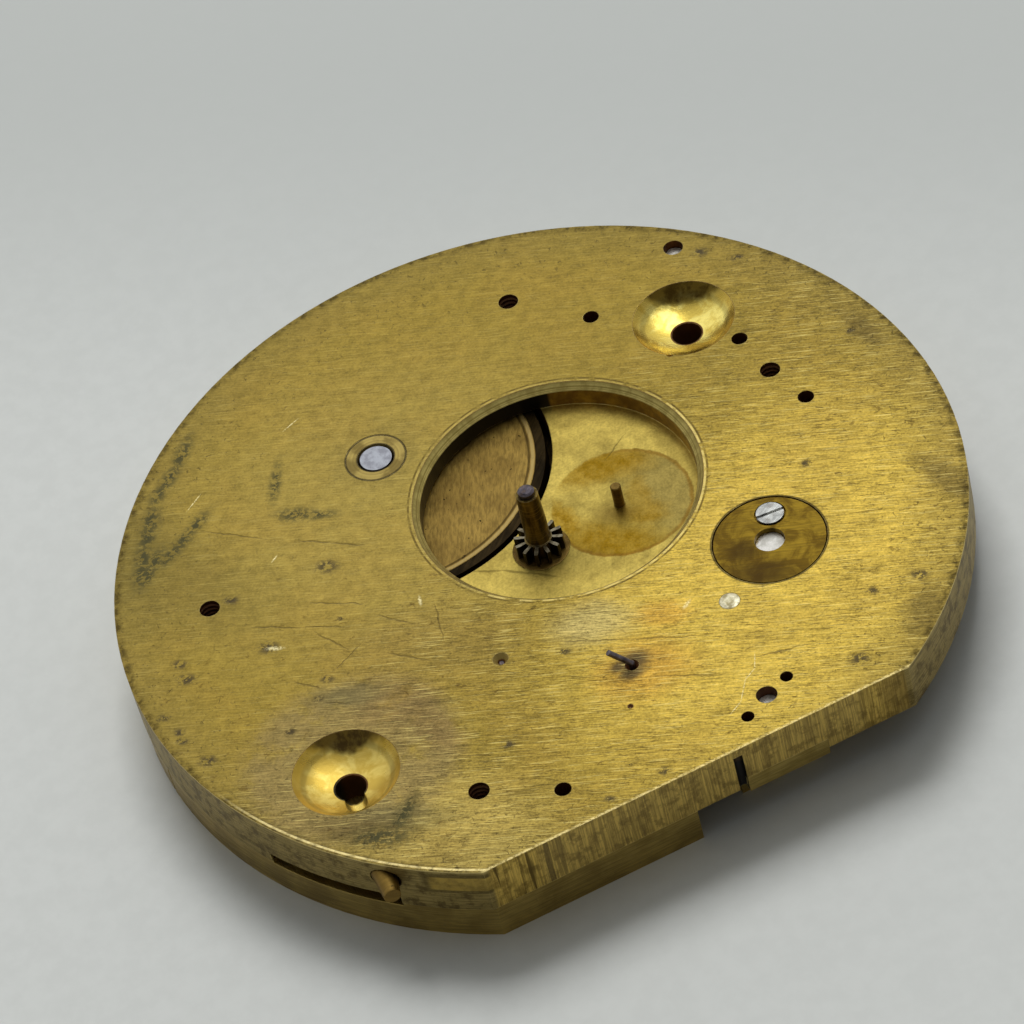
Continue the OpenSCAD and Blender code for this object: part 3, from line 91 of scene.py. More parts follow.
class Graph(Nodes):
    """A material's nodes. x, y, z, mm and flat are the part's own coordinates, in mm."""

    def __init__(self, name):
        self.mat = bpy.data.materials.new(name)
        self.mat.use_nodes = True
        super().__init__(self.mat.node_tree)
        self.out = self.tree.nodes.new("ShaderNodeOutputMaterial")
        self.coord = self.add("ShaderNodeTexCoord", out="Object")
        facing = self.add("ShaderNodeTexCoord", out="Normal")
        self.mm = self.add("ShaderNodeVectorMath", {0: self.coord, 1: (1 / MM, 1 / MM, 1 / MM)},
                           operation="MULTIPLY")
        self.x, self.y, self.z = self.split(self.mm)
        self.ny, self.nz = self.split(facing)[1:]
        self.flat = self.add("ShaderNodeCombineXYZ", {0: self.x, 1: self.y})

    def mix(self, factor, a, b, mode="MIX"):
        n = self.tree.nodes.new("ShaderNodeMix")
        n.data_type = "RGBA"
        n.blend_type = mode
        for index, value in ((0, factor), (6, a), (7, b)):
            if isinstance(value, bpy.types.NodeSocket):
                self.tree.links.new(value, n.inputs[index])
            else:
                n.inputs[index].default_value = value if index == 0 else (*value, 1)
        return n.outputs[2]

    def cover(self, tone, mask, share, colour):
        """The tone with a colour laid over it where the mask is, share of it at most."""
        return self.mix(self.times(mask, share), tone, colour)

    def shade(self, tone, light):
        """The colour tone made lighter or darker by the factor light."""
        grey = self.add("ShaderNodeCombineColor", {0: light, 1: light, 2: light})
        return self.mix(1.0, tone, grey, "MULTIPLY")

    def noise(self, vector, scale, detail, rough, distort=0.0):
        inputs = {"Vector": vector, "Scale": scale, "Detail": detail, "Roughness": rough,
                  "Distortion": distort}
        return self.add("ShaderNodeTexNoise", inputs, out="Fac")

    def turned(self, vector, degrees, scale):
        """The coordinates along and across a direction in the dial's plane, scaled."""
        c, s = math.cos(math.radians(degrees)), math.sin(math.radians(degrees))
        along = self.dot(vector, (c * scale[0], s * scale[0], 0))
        across = self.dot(vector, (-s * scale[1], c * scale[1], 0))
        upright = self.dot(vector, (0, 0, scale[2]))
        return self.add("ShaderNodeCombineXYZ", {0: along, 1: across, 2: upright})

    def grain(self, vector, degrees, along, across, detail):
        """Noise drawn out along a direction, as brushing leaves it."""
        return self.noise(self.turned(vector, degrees, (along, across, 1)), 1.0, detail, 0.65)

    def distance(self, vector, at):
        return self.add("ShaderNodeVectorMath", {0: vector, 1: (*at, 0)}, out="Value",
                        operation="DISTANCE")

    def patch(self, vector, at, size, degrees=0.0, soft=0.6, most=1.0):
        """The value most inside an ellipse, falling to 0 past its edge."""
        c, s = math.cos(math.radians(degrees)), math.sin(math.radians(degrees))
        spot = self.add("ShaderNodeVectorMath", {0: vector, 1: (*at, 0)}, operation="SUBTRACT")
        along = self.dot(spot, (c / size[0], s / size[0], 0))
        across = self.dot(spot, (-s / size[1], c / size[1], 0))
        reach = self.plus(self.times(along, along), across, across)
        return self.span(self.math("SQRT", reach), 1.0 + soft, 1.0 - soft, 0.0, most)

    def patches(self, vector, marks, soft=0.6, most=1.0):
        """Where any of the marks is. A mark is a centre, half sizes and, if it leans, a turn."""
        total = None
        for mark in marks:
            one = self.patch(vector, *mark[:2], mark[2] if len(mark) > 2 else 0.0, soft, most)
            total = one if total is None else self.larger(total, one)
        return total

    def scratches(self, vector, degrees, along, across, width, gaps):
        """Long thin lines near one direction, broken into lengths."""
        lines = self.noise(self.turned(vector, degrees, (along, across, 1)), 1.0, 1.0, 0.4)
        near = self.math("ABSOLUTE", self.math("SUBTRACT", lines, 0.5))
        line = self.span(near, width, 0.0)
        broken = self.noise(self.turned(vector, degrees, (0.25, 0.8, 1)), 1.0, 2.0, 0.5)
        return self.times(line, self.span(broken, gaps, gaps + 0.07))

    def bump(self, height, distance, strength, normal=None):
        inputs = {"Height": height, "Distance": distance * MM, "Strength": strength}
        if normal is not None:
            inputs["Normal"] = normal
        return self.add("ShaderNodeBump", inputs)

    def worn_edge(self, radius):
        """A normal rounded over edges, and how much it turns there: 1 on rubbed edges."""
        soft = self.add("ShaderNodeBevel", {"Radius": radius * MM}, samples=4)
        true = self.add("ShaderNodeNewGeometry", out="Normal")
        return soft, self.span(self.dot(soft, true), 0.985, 0.80)

    def finish(self, **inputs):
        """Link the surface, metal unless told otherwise, and return the material."""
        named = {key.replace("_", " "): value for key, value in inputs.items()}
        surface = self.add("ShaderNodeBsdfPrincipled", {"Metallic": 1.0, **named}, out="BSDF")
        self.tree.links.new(surface, self.out.inputs["Surface"])
        return self.mat


def srgb(*levels):
    """A colour as it is read off a picture, 0 to 255, as the linear values that shaders take."""
    return tuple(c / 255 / 12.92 if c <= 10 else ((c / 255 + 0.055) / 1.055) ** 2.4 for c in levels)


def scaled(colour, factor):
    return tuple(min(c * factor, 0.95) for c in colour)


# ---- places and sizes of the plate's features, as the solids have them, in mm ----
PLATE_RADIUS = 21.5
FLAT_Y = -18.3
RECESS = (2.1, 2.05)
RECESS_RADIUS = 7.05
RECESS_DEPTH = 1.3
LIP_RADIUS = RECESS_RADIUS + 0.36
DISHES = ((12.65, 9.1), (-14.4, -8.97))
DISH_RADIUS = 2.67
FOOT_BORE = 0.78
BARREL = (-4.8, 9.35)
BARREL_OPENING = 9.3
BUSH_RADIUS = 1.56
BUSH_STEP = 1.0
LID_GROOVE = 7.64
LID_RING = 7.84
CAP = (9.45, -7.15)
CAP_RADIUS = 2.9
THIRD_PIVOT = (-5.05, -6.65)
PIVOT_CUP = 0.45
CANNON_TUBE = 0.62
CANNON_LEAVES = -0.35  # height of the leaves' tops
POST_DISC = (4.75, 0.5)  # the stained disc round the minute wheel's post
DISC_RADIUS = 3.6
BOX_LEFT, BOX_RIGHT = -2.27, -2.07  # ends of the rim's rubbed rectangle, radians
BOX_LOW, BOX_HIGH = -1.6, -0.22
GRAIN = -29.0  # direction in which the dial face was rubbed, degrees from three o'clock


def stroke(start, end, half):
    """A patch's centre, half sizes and turn for a straight mark between two points."""
    dx, dy = end[0] - start[0], end[1] - start[1]
    middle = ((start[0] + end[0]) / 2, (start[1] + end[1]) / 2)
    return middle, (math.hypot(dx, dy) / 2 + half, half), math.degrees(math.atan2(dy, dx))


def chain(half, *points):
    """Strokes from point to point, each as wide as twice half."""
    return [stroke(start, end, half) for start, end in zip(points, points[1:])]


# Stains, pits and nicks of the dial face
VERDIGRIS = (chain(0.34, (-12.6, 16.1), (-13.8, 14.7), (-15.0, 13.7), (-15.6, 13.2)) +
             chain(0.42, (-16.0, 12.5), (-16.6, 11.5), (-17.2, 10.6)) +
             chain(0.42, (-17.4, 10.2), (-17.9, 9.3), (-18.3, 8.4)) +
             chain(0.34, (-13.9, 10.7), (-14.9, 10.1), (-15.8, 9.5), (-16.7, 9.0)) +
             chain(0.40, (-16.8, 9.6), (-17.5, 9.0), (-18.3, 8.3)) +
             chain(0.26, (-9.4, 11.6), (-10.3, 9.9)) +
             chain(0.42, (-10.3, 8.35), (-9.4, 7.8)) +
             chain(0.28, (-9.6, 7.8), (-8.3, 7.1)) +
             chain(0.55, (-15.3, -13.2), (-13.9, -14.0)) +
             chain(0.35, (-13.6, -13.4), (-12.4, -12.4)))
DARK_DOTS = [(-18.7, 2.1, 0.36), (-18.8, 1.0, 0.42), (-20.7, -0.7, 0.30), (-20.4, -2.0, 0.26),
             (-20.5, -2.6, 0.26), (-19.9, -4.5, 0.42), (-2.2, -8.0, 0.30), (-1.4, -17.5, 0.3),
             (-2.6, -16.2, 0.14), (-7.0, -11.8, 0.3), (9.6, -16.5, 0.5), (-4.3, -17.6, 0.26),
             (-10.7, 0.3, 0.16), (19.3, 3.3, 0.24), (15.5, 12.9, 0.4), (16.9, 11.4, 0.3),
             (13.2, -3.6, 0.28), (-14.9, 4.6, 0.34), (-12.8, -3.0, 0.3), (-13.7, -3.9, 0.26),
             (-9.9, 3.9, 0.55), (12.1, -13.0, 0.3), (-14.5, 0.6, 0.5), (-15.7, -5.1, 0.3),
             (14.5, -13.4, 0.4)]  # x, y and half width
BRIGHT_NICKS = (chain(0.03, (-13.5, 12.2), (-14.4, 11.6)) +
                chain(0.03, (-7.2, 14.2), (-8.0, 13.9)) +
                chain(0.04, (-11.8, 6.0), (-12.1, 5.8)) +
                chain(0.12, (-14.5, 0.5), (-14.0, 0.2)) +
                chain(0.026, (5.5, -13.4), (5.1, -14.2), (4.4, -14.6), (3.6, -15.7), (2.9, -16.1)) +
                chain(0.08, (-6.8, -0.7), (-6.9, -1.1)) +
                chain(0.10, (4.3, -8.55), (4.0, -8.75)))
LONG_SCRATCHES = (chain(0.035, (-14.2, 9.7), (-12.0, 7.6)) +
                  chain(0.045, (-10.5, 6.4), (-9.1, 5.3), (-7.8, 4.2)) +
                  chain(0.035, (-11.5, 2.1), (-10.1, 1.1), (-9.4, 0.6)) +
                  chain(0.035, (-14.7, 2.3), (-12.6, 0.9)) +
                  chain(0.035, (-12.4, 0.8), (-10.6, -0.4)) +
                  chain(0.04, (-2.1, -7.3), (0.8, -9.1), (3.9, -10.9)) +
                  chain(0.05, (0.8, -11.9), (3.5, -13.6)) +
                  chain(0.05, (5.5, -13.6), (7.6, -14.2)) +
                  chain(0.045, (-14.3, -2.2), (-13.4, -3.3)) +
                  chain(0.045, (-12.1, 0.1), (-11.2, -1.7)) +
                  chain(0.04, (-10.6, -1.9), (-12.2, -2.6)) +
                  chain(0.045, (-9.0, -0.6), (-7.9, -1.9)) +
                  chain(0.04, (-6.3, -1.4), (-6.9, -3.9)) +
                  chain(0.045, (-9.6, -3.1), (-8.2, -4.6)) +
                  chain(0.04, (-13.5, -4.3), (-12.6, -5.0)))
RECESS_MARKS = (chain(0.07, (-5.1, 1.2), (-3.6, 0.6), (-2.3, -0.2), (-1.2, -1.2), (-0.1, -2.2)) +
                chain(0.04, (6.8, 4.6), (5.3, 3.6)))


# ---- the main plate ----
class Plate(Graph):
    """The plate's material, built in turn by the methods below."""

    def __init__(self):
        super().__init__("aged plate brass")
        self.wobble = self.noise(self.flat, 0.55, 3.0, 0.6)
        shift = self.add("ShaderNodeTexNoise", {"Vector": self.flat, "Scale": 1.6, "Detail": 3.0,
                                                "Roughness": 0.6}, out="Color")
        shift = self.add("ShaderNodeVectorMath", {0: shift, 1: (0.5, 0.5, 0.5)},
                         operation="SUBTRACT")
        self.bent = self.shifted(shift, 0.9)
        self.frayed = self.shifted(shift, 0.28)

    def shifted(self, shift, far):
        """The plane's coordinates pushed about, so that what is drawn on them has ragged edges."""
        return self.add("ShaderNodeVectorMath", {0: shift, 1: (far, far, 0), 2: self.flat},
                        operation="MULTIPLY_ADD")

    def find_places(self):
        """Masks for the faces that a point can be on: 1 on the face, 0 off it."""
        up = self.span(self.nz, 0.85, 0.95)
        self.face = self.times(up, self.span(self.z, -0.05, -0.02))
        self.floor = self.times(up, self.span(self.z, 0.1 - RECESS_DEPTH, 0.05 - RECESS_DEPTH))
        self.saw = self.times(self.span(self.ny, -0.8, -0.95),
                              self.span(self.y, FLAT_Y + 0.2, FLAT_Y + 0.05))
        self.reach = self.distance(self.flat, (0, 0))
        self.rim = self.times(self.span(self.reach, PLATE_RADIUS - 0.2, PLATE_RADIUS - 0.08),
                              self.span(self.math("ABSOLUTE", self.nz), 0.5, 0.3))
        self.near_dish = self.math("MINIMUM", self.distance(self.flat, DISHES[0]),
                                   self.distance(self.flat, DISHES[1]))
        self.dish = self.times(self.between(self.near_dish,
                                            (DISH_RADIUS + 0.07, DISH_RADIUS + 0.01),
                                            (FOOT_BORE + 0.06, FOOT_BORE + 0.09)),
                               self.span(self.z, -0.004, -0.03))
        self.recess = self.distance(self.flat, RECESS)
        self.lip = self.times(self.between(self.recess,
                                           (RECESS_RADIUS - 0.02, RECESS_RADIUS + 0.01),
                                           (LIP_RADIUS + 0.05, LIP_RADIUS + 0.01)),
                              self.span(self.z, -0.006, -0.02))
        self.lip = self.times(self.lip, self.span(self.nz, 0.45, 0.6))
        self.recess_wall = self.between(self.recess,
                                        (RECESS_RADIUS - 0.1, RECESS_RADIUS - 0.05),
                                        (RECESS_RADIUS + 0.07, RECESS_RADIUS + 0.03))

    def draw_wear(self):
        """Brushed grain, faint at the upper left, coarse and dashed toward the lower right, with
        painted glints.
        """
        across = self.math("ADD", self.times(self.x, 0.45), self.times(self.y, -0.89))
        self.rubbed = self.span(across, -9.0, 6.0)
        self.fine = self.grain(self.flat, GRAIN, 0.6, 20.0, 3.0)
        self.wide = self.grain(self.flat, GRAIN + 3, 0.16, 2.8, 3.0)
        self.mottle = self.noise(self.flat, 1.5, 4.0, 0.65)
        self.speck = self.noise(self.flat, 7.5, 2.0, 0.6)
        self.cross = self.grain(self.flat, GRAIN - 74, 0.5, 9.0, 3.0)
        self.dashes = self.rubbed_more(
            self.span(self.grain(self.flat, GRAIN - 1.5, 1.5, 15.0, 2.0), 0.580, 0.635), 0.18, 1.0)
        self.dashes = self.times(self.dashes, self.span(self.wobble, 0.36, 0.56))
        self.dark_lines = self.rubbed_more(
            self.scratches(self.flat, GRAIN + 1.0, 0.06, 3.8, 0.008, 0.53), 0.25, 1.0)
        self.blots = self.times(self.span(self.grain(self.bent, GRAIN, 1.1, 2.6, 5.0), 0.60, 0.68),
                                self.span(self.y, 8.0, -1.0, 0.25, 1.0))
        # glints: painted highlights along the grain
        self.glints = self.rubbed_more(
            self.span(self.grain(self.flat, GRAIN + 1.5, 0.5, 15.0, 2.0), 0.585, 0.65), 0.2, 0.8)
        self.ragged = self.span(self.noise(self.flat, 3.0, 4.0, 0.7), 0.44, 0.53)
        self.marks = self.patches(self.frayed, LONG_SCRATCHES, 0.5)

    def rubbed_more(self, mask, least, most):
        """The mask's share, least where the face is hardly rubbed and most where it is."""
        return self.times(mask, self.span(self.rubbed, 0.0, 1.0, least, most))

    def stain_or_sheen(self, tone, marks, most, colour):
        """A soft cloud of colour: tarnish, or lighter brass that stands for painted sheen."""
        return self.mix(self.patches(self.bent, marks, 0.6, most), tone, colour)

    def face_colour(self):
        """Olive brown at the upper left, golden toward the lower right and lighter at the lower
        left as painted sheen, with tarnish and oil.
        """
        cloud = self.noise(self.bent, 0.20, 4.0, 0.6, 0.3)
        tone = self.mix(self.patch(self.bent, (-6, 6), (9.0, 9.0), 0, 0.7),
                        srgb(146, 124, 54), srgb(155, 134, 66))
        # a lighter cloud at the lower left: painted sheen
        tone = self.stain_or_sheen(tone, [((-13, -15), (6.0, 4.0), -35)], 1.0, srgb(172, 149, 78))
        # golden toward the lower right: painted sheen where the light falls
        tone = self.mix(self.patch(self.bent, (8.6, -9.6), (12.5, 8.5), 35, 0.5), tone,
                        srgb(200, 170, 74))
        tone = self.mix(self.span(cloud, 0.40, 0.66, 0.0, 0.30), tone, srgb(154, 127, 58))
        tone = self.mix(self.span(self.reach, PLATE_RADIUS - 4.0, PLATE_RADIUS - 0.2, 0.0, 0.40),
                        tone, srgb(124, 108, 58))
        tone = self.stain_or_sheen(tone, [((-17.6, 8.5), (3.0, 6.5), 28)], 0.5, srgb(112, 98, 50))

        # brown round the lower dish, orange near the seconds pivot, grey above it
        self.halo = self.times(self.patch(self.bent, (-13.8, -8.4), (5.4, 5.0), 0, 0.16),
                               self.span(self.noise(self.bent, 0.6, 4.0, 0.6), 0.26, 0.52))
        tone = self.cover(tone, self.halo, 0.78, srgb(144, 124, 74))
        tone = self.stain_or_sheen(tone, [((-10.6, -6.4), (1.9, 1.3), -20), ((-9.6, -8.6), (0.8, 1.9), 10)],
                          0.5, srgb(128, 102, 60))
        tone = self.stain_or_sheen(tone, [((-12.2, -4.6), (1.6, 0.7), -25),
                                 ((-13.4, -12.9), (2.6, 0.8), -35)], 0.5, srgb(98, 92, 62))
        tone = self.stain_or_sheen(tone, [((-8.0, -3.8), (4.2, 2.4), -25)], 0.35, srgb(136, 112, 60))
        tone = self.stain_or_sheen(tone, [((0.6, -11.2), (2.2, 1.7), -15), ((2.9, -8.5), (1.3, 0.8), -30)],
                          0.45, srgb(186, 132, 50))
        tone = self.stain_or_sheen(tone, [((-0.3, -7.1), (1.9, 1.3), -20)], 0.62, srgb(182, 166, 110))
        tone = self.mix(self.patch(self.bent, BARREL, (2.4, 2.2), 0, 0.35, 0.3), tone,
                        srgb(118, 102, 54))
        tone = self.stain_or_sheen(tone, [((13.6, -15.6), (1.7, 0.9), 50), ((18.6, -8.6), (0.7, 2.6), 15),
                                 ((19.9, 3.0), (0.5, 1.4), 10), ((-15.2, -12.7), (2.4, 0.8), -35)],
                          0.6, srgb(98, 82, 44))
        self.oil = self.patches(self.frayed, [((0.35, -10.5), (0.8, 0.62)),
                                              ((0.0, -11.1), (0.6, 0.4)),
                                              ((-0.4, -10.4), (0.4, 0.3))])
        return self.cover(tone, self.oil, 0.85, srgb(66, 52, 30))

    def worn_face(self, tone):
        """The grain's light and dark, painted glints, then dirt in pits and marks."""
        light = self.vary(1.0, self.fine, self.span(self.rubbed, 0, 1, 0.8, 1.7))
        light = self.vary(light, self.wide, self.span(self.rubbed, 0, 1, 0.35, 0.75))
        light = self.vary(light, self.mottle, 0.9)
        light = self.vary(light, self.speck, self.span(self.rubbed, 0, 1, 0.7, 1.1))
        tone = self.shade(tone, light)
        tone = self.cover(tone, self.dashes, 0.62, srgb(98, 78, 34))
        tone = self.cover(tone, self.dark_lines, 0.55, srgb(92, 75, 34))
        tone = self.cover(tone, self.blots, 0.62, srgb(92, 70, 30))
        # painted highlights on the grain
        tone = self.cover(tone, self.glints, 0.55, srgb(242, 220, 136))
        self.pits = self.times(self.span(self.noise(self.bent, 4.2, 3.0, 0.65), 0.62, 0.67),
                               self.span(self.reach, 14.0, 20.5, 0.35, 1.0))
        tone = self.cover(tone, self.pits, 0.65, srgb(88, 74, 36))
        self.smears = self.times(self.patches(self.frayed, VERDIGRIS, 0.9),
                                 self.plus(0.18, self.ragged, 0.82))
        tone = self.cover(tone, self.smears, 0.92, srgb(52, 50, 14))
        dots = [((x, y), (half, half * 0.75), GRAIN) for x, y, half in DARK_DOTS]
        self.dots = self.times(self.patches(self.frayed, dots, 0.7), self.ragged)
        tone = self.cover(tone, self.dots, 0.9, srgb(56, 44, 18))
        tone = self.cover(tone, self.marks, 0.55, srgb(84, 68, 32))
        self.nicks = self.times(self.patches(self.flat, BRIGHT_NICKS),
                                self.span(self.speck, 0.40, 0.52, 0.15, 1.0))
        return self.cover(tone, self.nicks, 0.7, srgb(240, 226, 172))

    def outlined(self, tone):
        """Lines along the face's edges: dark border, a painted highlight along the recess's edge, a
        burred edge with painted highlight, seams of pieces.
        """
        border = self.times(self.span(self.reach, PLATE_RADIUS - 0.52, PLATE_RADIUS - 0.14),
                            self.span(self.noise(self.flat, 1.7, 4.0, 0.7), 0.36, 0.58, 1.0, 0.2))
        tone = self.cover(tone, border, 0.85, srgb(62, 50, 22))
        lower_right = self.math("SUBTRACT", self.x, self.times(self.y, 2.0))
        # a light line along the recess's edge, stronger toward the lower right: painted highlight
        bright = self.between(self.recess, (LIP_RADIUS - 0.01, LIP_RADIUS + 0.03),
                              (LIP_RADIUS + 0.15, LIP_RADIUS + 0.09))
        bright = self.times(bright, self.times(self.span(self.mottle, 0.40, 0.54),
                                               self.span(lower_right, -4.0, 4.0, 0.15, 0.75)))
        tone = self.mix(bright, tone, srgb(222, 200, 124))
        dark = self.between(self.recess, (LIP_RADIUS + 0.11, LIP_RADIUS + 0.16),
                            (LIP_RADIUS + 0.27, LIP_RADIUS + 0.20))
        tone = self.mix(self.times(dark, self.span(self.mottle, 0.40, 0.56, 0.15, 0.8)), tone,
                        srgb(84, 68, 32))
        # light lines at the lower-left edge and along the flat: burred edge with painted highlight
        burr_and_highlight = self.between(self.reach, (PLATE_RADIUS - 0.26, PLATE_RADIUS - 0.19),
                            (PLATE_RADIUS - 0.08, PLATE_RADIUS - 0.14))
        lower_left = self.times(self.span(self.y, -6.0, -11.0), self.span(self.x, 0.0, -4.0))
        along_flat = self.times(self.span(self.y, FLAT_Y + 0.18, FLAT_Y + 0.08),
                                self.span(self.speck, 0.38, 0.52, 0.1, 0.8))
        burr_and_highlight = self.larger(self.times(burr_and_highlight, lower_left), along_flat)
        tone = self.mix(self.times(burr_and_highlight, self.span(self.mottle, 0.36, 0.54, 0.35, 0.9)), tone,
                        srgb(236, 216, 152))
        seams = self.larger(
            self.span(self.distance(self.flat, CAP), CAP_RADIUS + 0.09, CAP_RADIUS + 0.02),
            self.span(self.distance(self.flat, BARREL), BUSH_RADIUS + 0.10, BUSH_RADIUS + 0.04))
        return self.cover(tone, seams, 0.8, srgb(46, 36, 18))

    def recess_colour(self):
        """The recess floor: finer grain, a stained disc round the minute wheel's post, and painted
        shade along its wall.
        """
        bed = self.mix(self.span(self.noise(self.bent, 0.4, 3.0, 0.6), 0.38, 0.62),
                       srgb(192, 168, 84), srgb(166, 144, 70))
        post = self.distance(self.frayed, POST_DISC)
        disc = self.span(post, DISC_RADIUS + 0.10, DISC_RADIUS - 0.08)
        arcs = self.patches(self.bent, [((5.0, 3.3), (2.4, 1.1), -14),
                                        ((3.0, -1.7), (2.8, 1.5), -38),
                                        ((1.8, 1.0), (0.6, 1.5), 8),
                                        ((5.6, 0.3), (0.6, 1.4), -15),
                                        ((5.2, -0.7), (1.2, 0.9), -30)])
        arcs = self.times(self.times(disc, arcs), self.span(post, 0.5, 2.6, 0.55, 1.0))
        clean = self.distance(self.bent, (2.7, 1.9))
        bed = self.mix(self.times(disc, self.span(clean, 1.2, 2.4, 0.15, 0.70)), bed,
                       srgb(134, 118, 56))
        right_part = self.times(disc, self.patch(self.bent, (7.1, 0.2), (1.9, 3.4)))
        bed = self.cover(bed, right_part, 0.7, srgb(146, 127, 68))
        bed = self.mix(self.times(arcs, self.span(self.mottle, 0.36, 0.60, 0.95, 0.70)), bed,
                       srgb(142, 108, 14))
        outline = self.between(post, (DISC_RADIUS - 0.24, DISC_RADIUS - 0.06),
                               (DISC_RADIUS + 0.10, DISC_RADIUS - 0.02))
        outline = self.times(outline, self.patches(self.bent, [((7.0, -0.2), (2.4, 4.2)),
                                                               ((3.0, -2.4), (3.4, 1.4), -30)]))
        bed = self.cover(bed, outline, 0.75, srgb(126, 92, 30))
        light = self.vary(1.0, self.grain(self.flat, 64, 0.4, 9.0, 4.0), 0.32)
        light = self.vary(light, self.mottle, 1.0)
        light = self.vary(light, self.speck, 0.8)
        bed = self.shade(bed, light)
        # darker patches just below the centre
        dark_patches = self.patches(self.bent, [((0.8, -1.3), (1.9, 0.9), -40),
                                        ((-0.5, -0.9), (1.5, 1.0), 10)], 0.7)
        bed = self.cover(bed, dark_patches, 0.35, srgb(62, 56, 24))
        bed = self.mix(self.patch(self.bent, (4.2, 0.1), (0.9, 0.6), -40, 0.7, 0.5), bed,
                       srgb(104, 78, 30))
        bed = self.mix(self.patches(self.frayed, RECESS_MARKS, 0.6, 0.55), bed, srgb(74, 62, 26))
        # painted shade: darker toward the recess's wall
        wall_shade = self.span(self.recess, RECESS_RADIUS - 0.65, RECESS_RADIUS - 0.05, 0.0, 0.25)
        return self.mix(wall_shade, bed, srgb(120, 98, 40))

    def wall_colour(self):
        """Walls: brown gold in the recess, dark in holes, near black as painted shade deep in the
        slot and in the gap next to the barrel, brass behind.
        """
        cloudy = self.span(self.noise(self.mm, 0.9, 4.0, 0.65), 0.35, 0.65)
        tone = self.mix(self.span(self.y, FLAT_Y + 0.6, FLAT_Y + 0.1), srgb(96, 58, 28),
                        srgb(50, 40, 20))
        # painted shade: near black on walls near the rim deeper than 0.9 mm, as in the slot
        slot = self.between(self.reach, (PLATE_RADIUS - 0.25, PLATE_RADIUS - 0.4),
                            (PLATE_RADIUS - 5.0, PLATE_RADIUS - 4.5))
        tone = self.mix(self.times(slot, self.span(self.z, -0.9, -1.1)), tone, srgb(16, 12, 6))
        tone = self.mix(self.recess_wall, tone,
                        self.mix(cloudy, srgb(176, 138, 52), srgb(122, 90, 34)))
        # painted shade: near black in the gap between the recess wall and the barrel
        to_barrel = self.distance(self.flat, BARREL)
        barrel_gap_shade = self.times(self.span(to_barrel, BARREL_OPENING + 0.2, BARREL_OPENING),
                            self.recess_wall)
        tone = self.mix(barrel_gap_shade, tone, srgb(22, 16, 8))
        cup = self.between(self.distance(self.flat, THIRD_PIVOT),
                           (PIVOT_CUP + 0.01, PIVOT_CUP - 0.01), (0.16, 0.22))
        tone = self.mix(cup, tone, srgb(150, 128, 66))

        rings = self.add("ShaderNodeCombineXYZ", {0: self.recess})
        self.lip_rings = self.noise(rings, 17.0, 3.0, 0.7)
        lip_tone = self.mix(self.span(self.lip_rings, 0.36, 0.62), srgb(138, 122, 62),
                            srgb(206, 186, 112))
        lip_tone = self.mix(self.span(self.mottle, 0.42, 0.60, 0.0, 0.5), lip_tone,
                            srgb(132, 114, 58))
        lip_tone = self.mix(self.span(self.recess, LIP_RADIUS - 0.09, LIP_RADIUS - 0.01, 0.0, 0.6),
                            lip_tone, srgb(112, 96, 48))
        tone = self.mix(self.lip, tone, lip_tone)
        self.back = self.span(self.nz, -0.5, -0.8)
        return self.mix(self.back, tone,
                        self.mix(cloudy, srgb(184, 158, 86), srgb(156, 132, 70)))

    def dish_colour(self):
        """The dishes: bright gold, a darker rim, and a brown crescent of painted shade along the
        upper side.
        """
        fall = 0.45  # the crescents' lower edges drop this far for each mm to the right
        height = self.plus(self.vary(self.y, self.wobble, 1.6), self.x, fall)
        first, second = (y + x * fall for x, y in DISHES)
        # painted shade along the lower dish's upper side, left of x -11 mm
        lower = self.times(self.span(height, second + 1.9, second + 2.35),
                           self.span(self.x, -11.0, -11.5))
        # painted shade along each dish's upper side
        crescent = self.larger(self.span(height, first + 1.72, first + 2.25), lower)
        tone = self.mix(self.span(self.noise(self.mm, 0.9, 4.0, 0.6, 0.6), 0.40, 0.60),
                        srgb(246, 226, 128), srgb(214, 186, 86))
        tone = self.mix(self.span(self.x, 0.0, -1.0, 0.0, 0.4), tone, srgb(190, 150, 58))
        from_edge = self.span(self.near_dish, DISH_RADIUS - 0.52, DISH_RADIUS - 0.17, 0.0, 0.7)
        tone = self.mix(from_edge, tone, srgb(196, 160, 58))
        ring = self.span(self.near_dish, DISH_RADIUS - 0.67, DISH_RADIUS - 0.52)
        ring = self.times(ring, self.span(self.near_dish, DISH_RADIUS - 0.27, DISH_RADIUS - 0.42,
                                          0.0, 0.4))
        tone = self.mix(ring, tone, srgb(116, 100, 46))
        return self.mix(self.times(crescent, self.span(self.mottle, 0.38, 0.60, 0.97, 0.80)), tone,
                        srgb(66, 48, 16))

    def saw_colour(self):
        """The sawn flat: upright grooves, dirt in spots, darker at both ends."""
        self.around = self.math("ARCTAN2", self.y, self.x)
        self.rim_at = self.add("ShaderNodeCombineXYZ", {0: self.times(self.around, PLATE_RADIUS),
                                                        1: self.z})
        self.rim_spots = self.noise(self.rim_at, 1.3, 5.0, 0.7)
        self.grooves = self.noise(self.turned(self.mm, 0, (12.0, 1, 0.4)), 1.0, 4.0, 0.7)
        self.coarse = self.noise(self.turned(self.mm, 0, (2.6, 1, 0.12)), 1.0, 2.0, 0.5)
        left_end = self.span(self.x, -5.5, -9.5)
        tone = self.mix(self.span(self.grooves, 0.36, 0.64), srgb(162, 136, 68),
                        srgb(222, 190, 98))
        tone = self.mix(self.span(self.rim_spots, 0.46, 0.62, 0.0, 0.6), tone, srgb(112, 90, 42))
        tone = self.mix(self.span(self.x, 9.0, 11.0, 0.0, 0.6), tone, srgb(100, 80, 42))
        shadows = self.times(self.span(self.coarse, 0.46, 0.40),
                             self.math("ADD", self.times(left_end, 0.7), 0.2))
        return self.mix(shadows, tone, srgb(96, 78, 38))

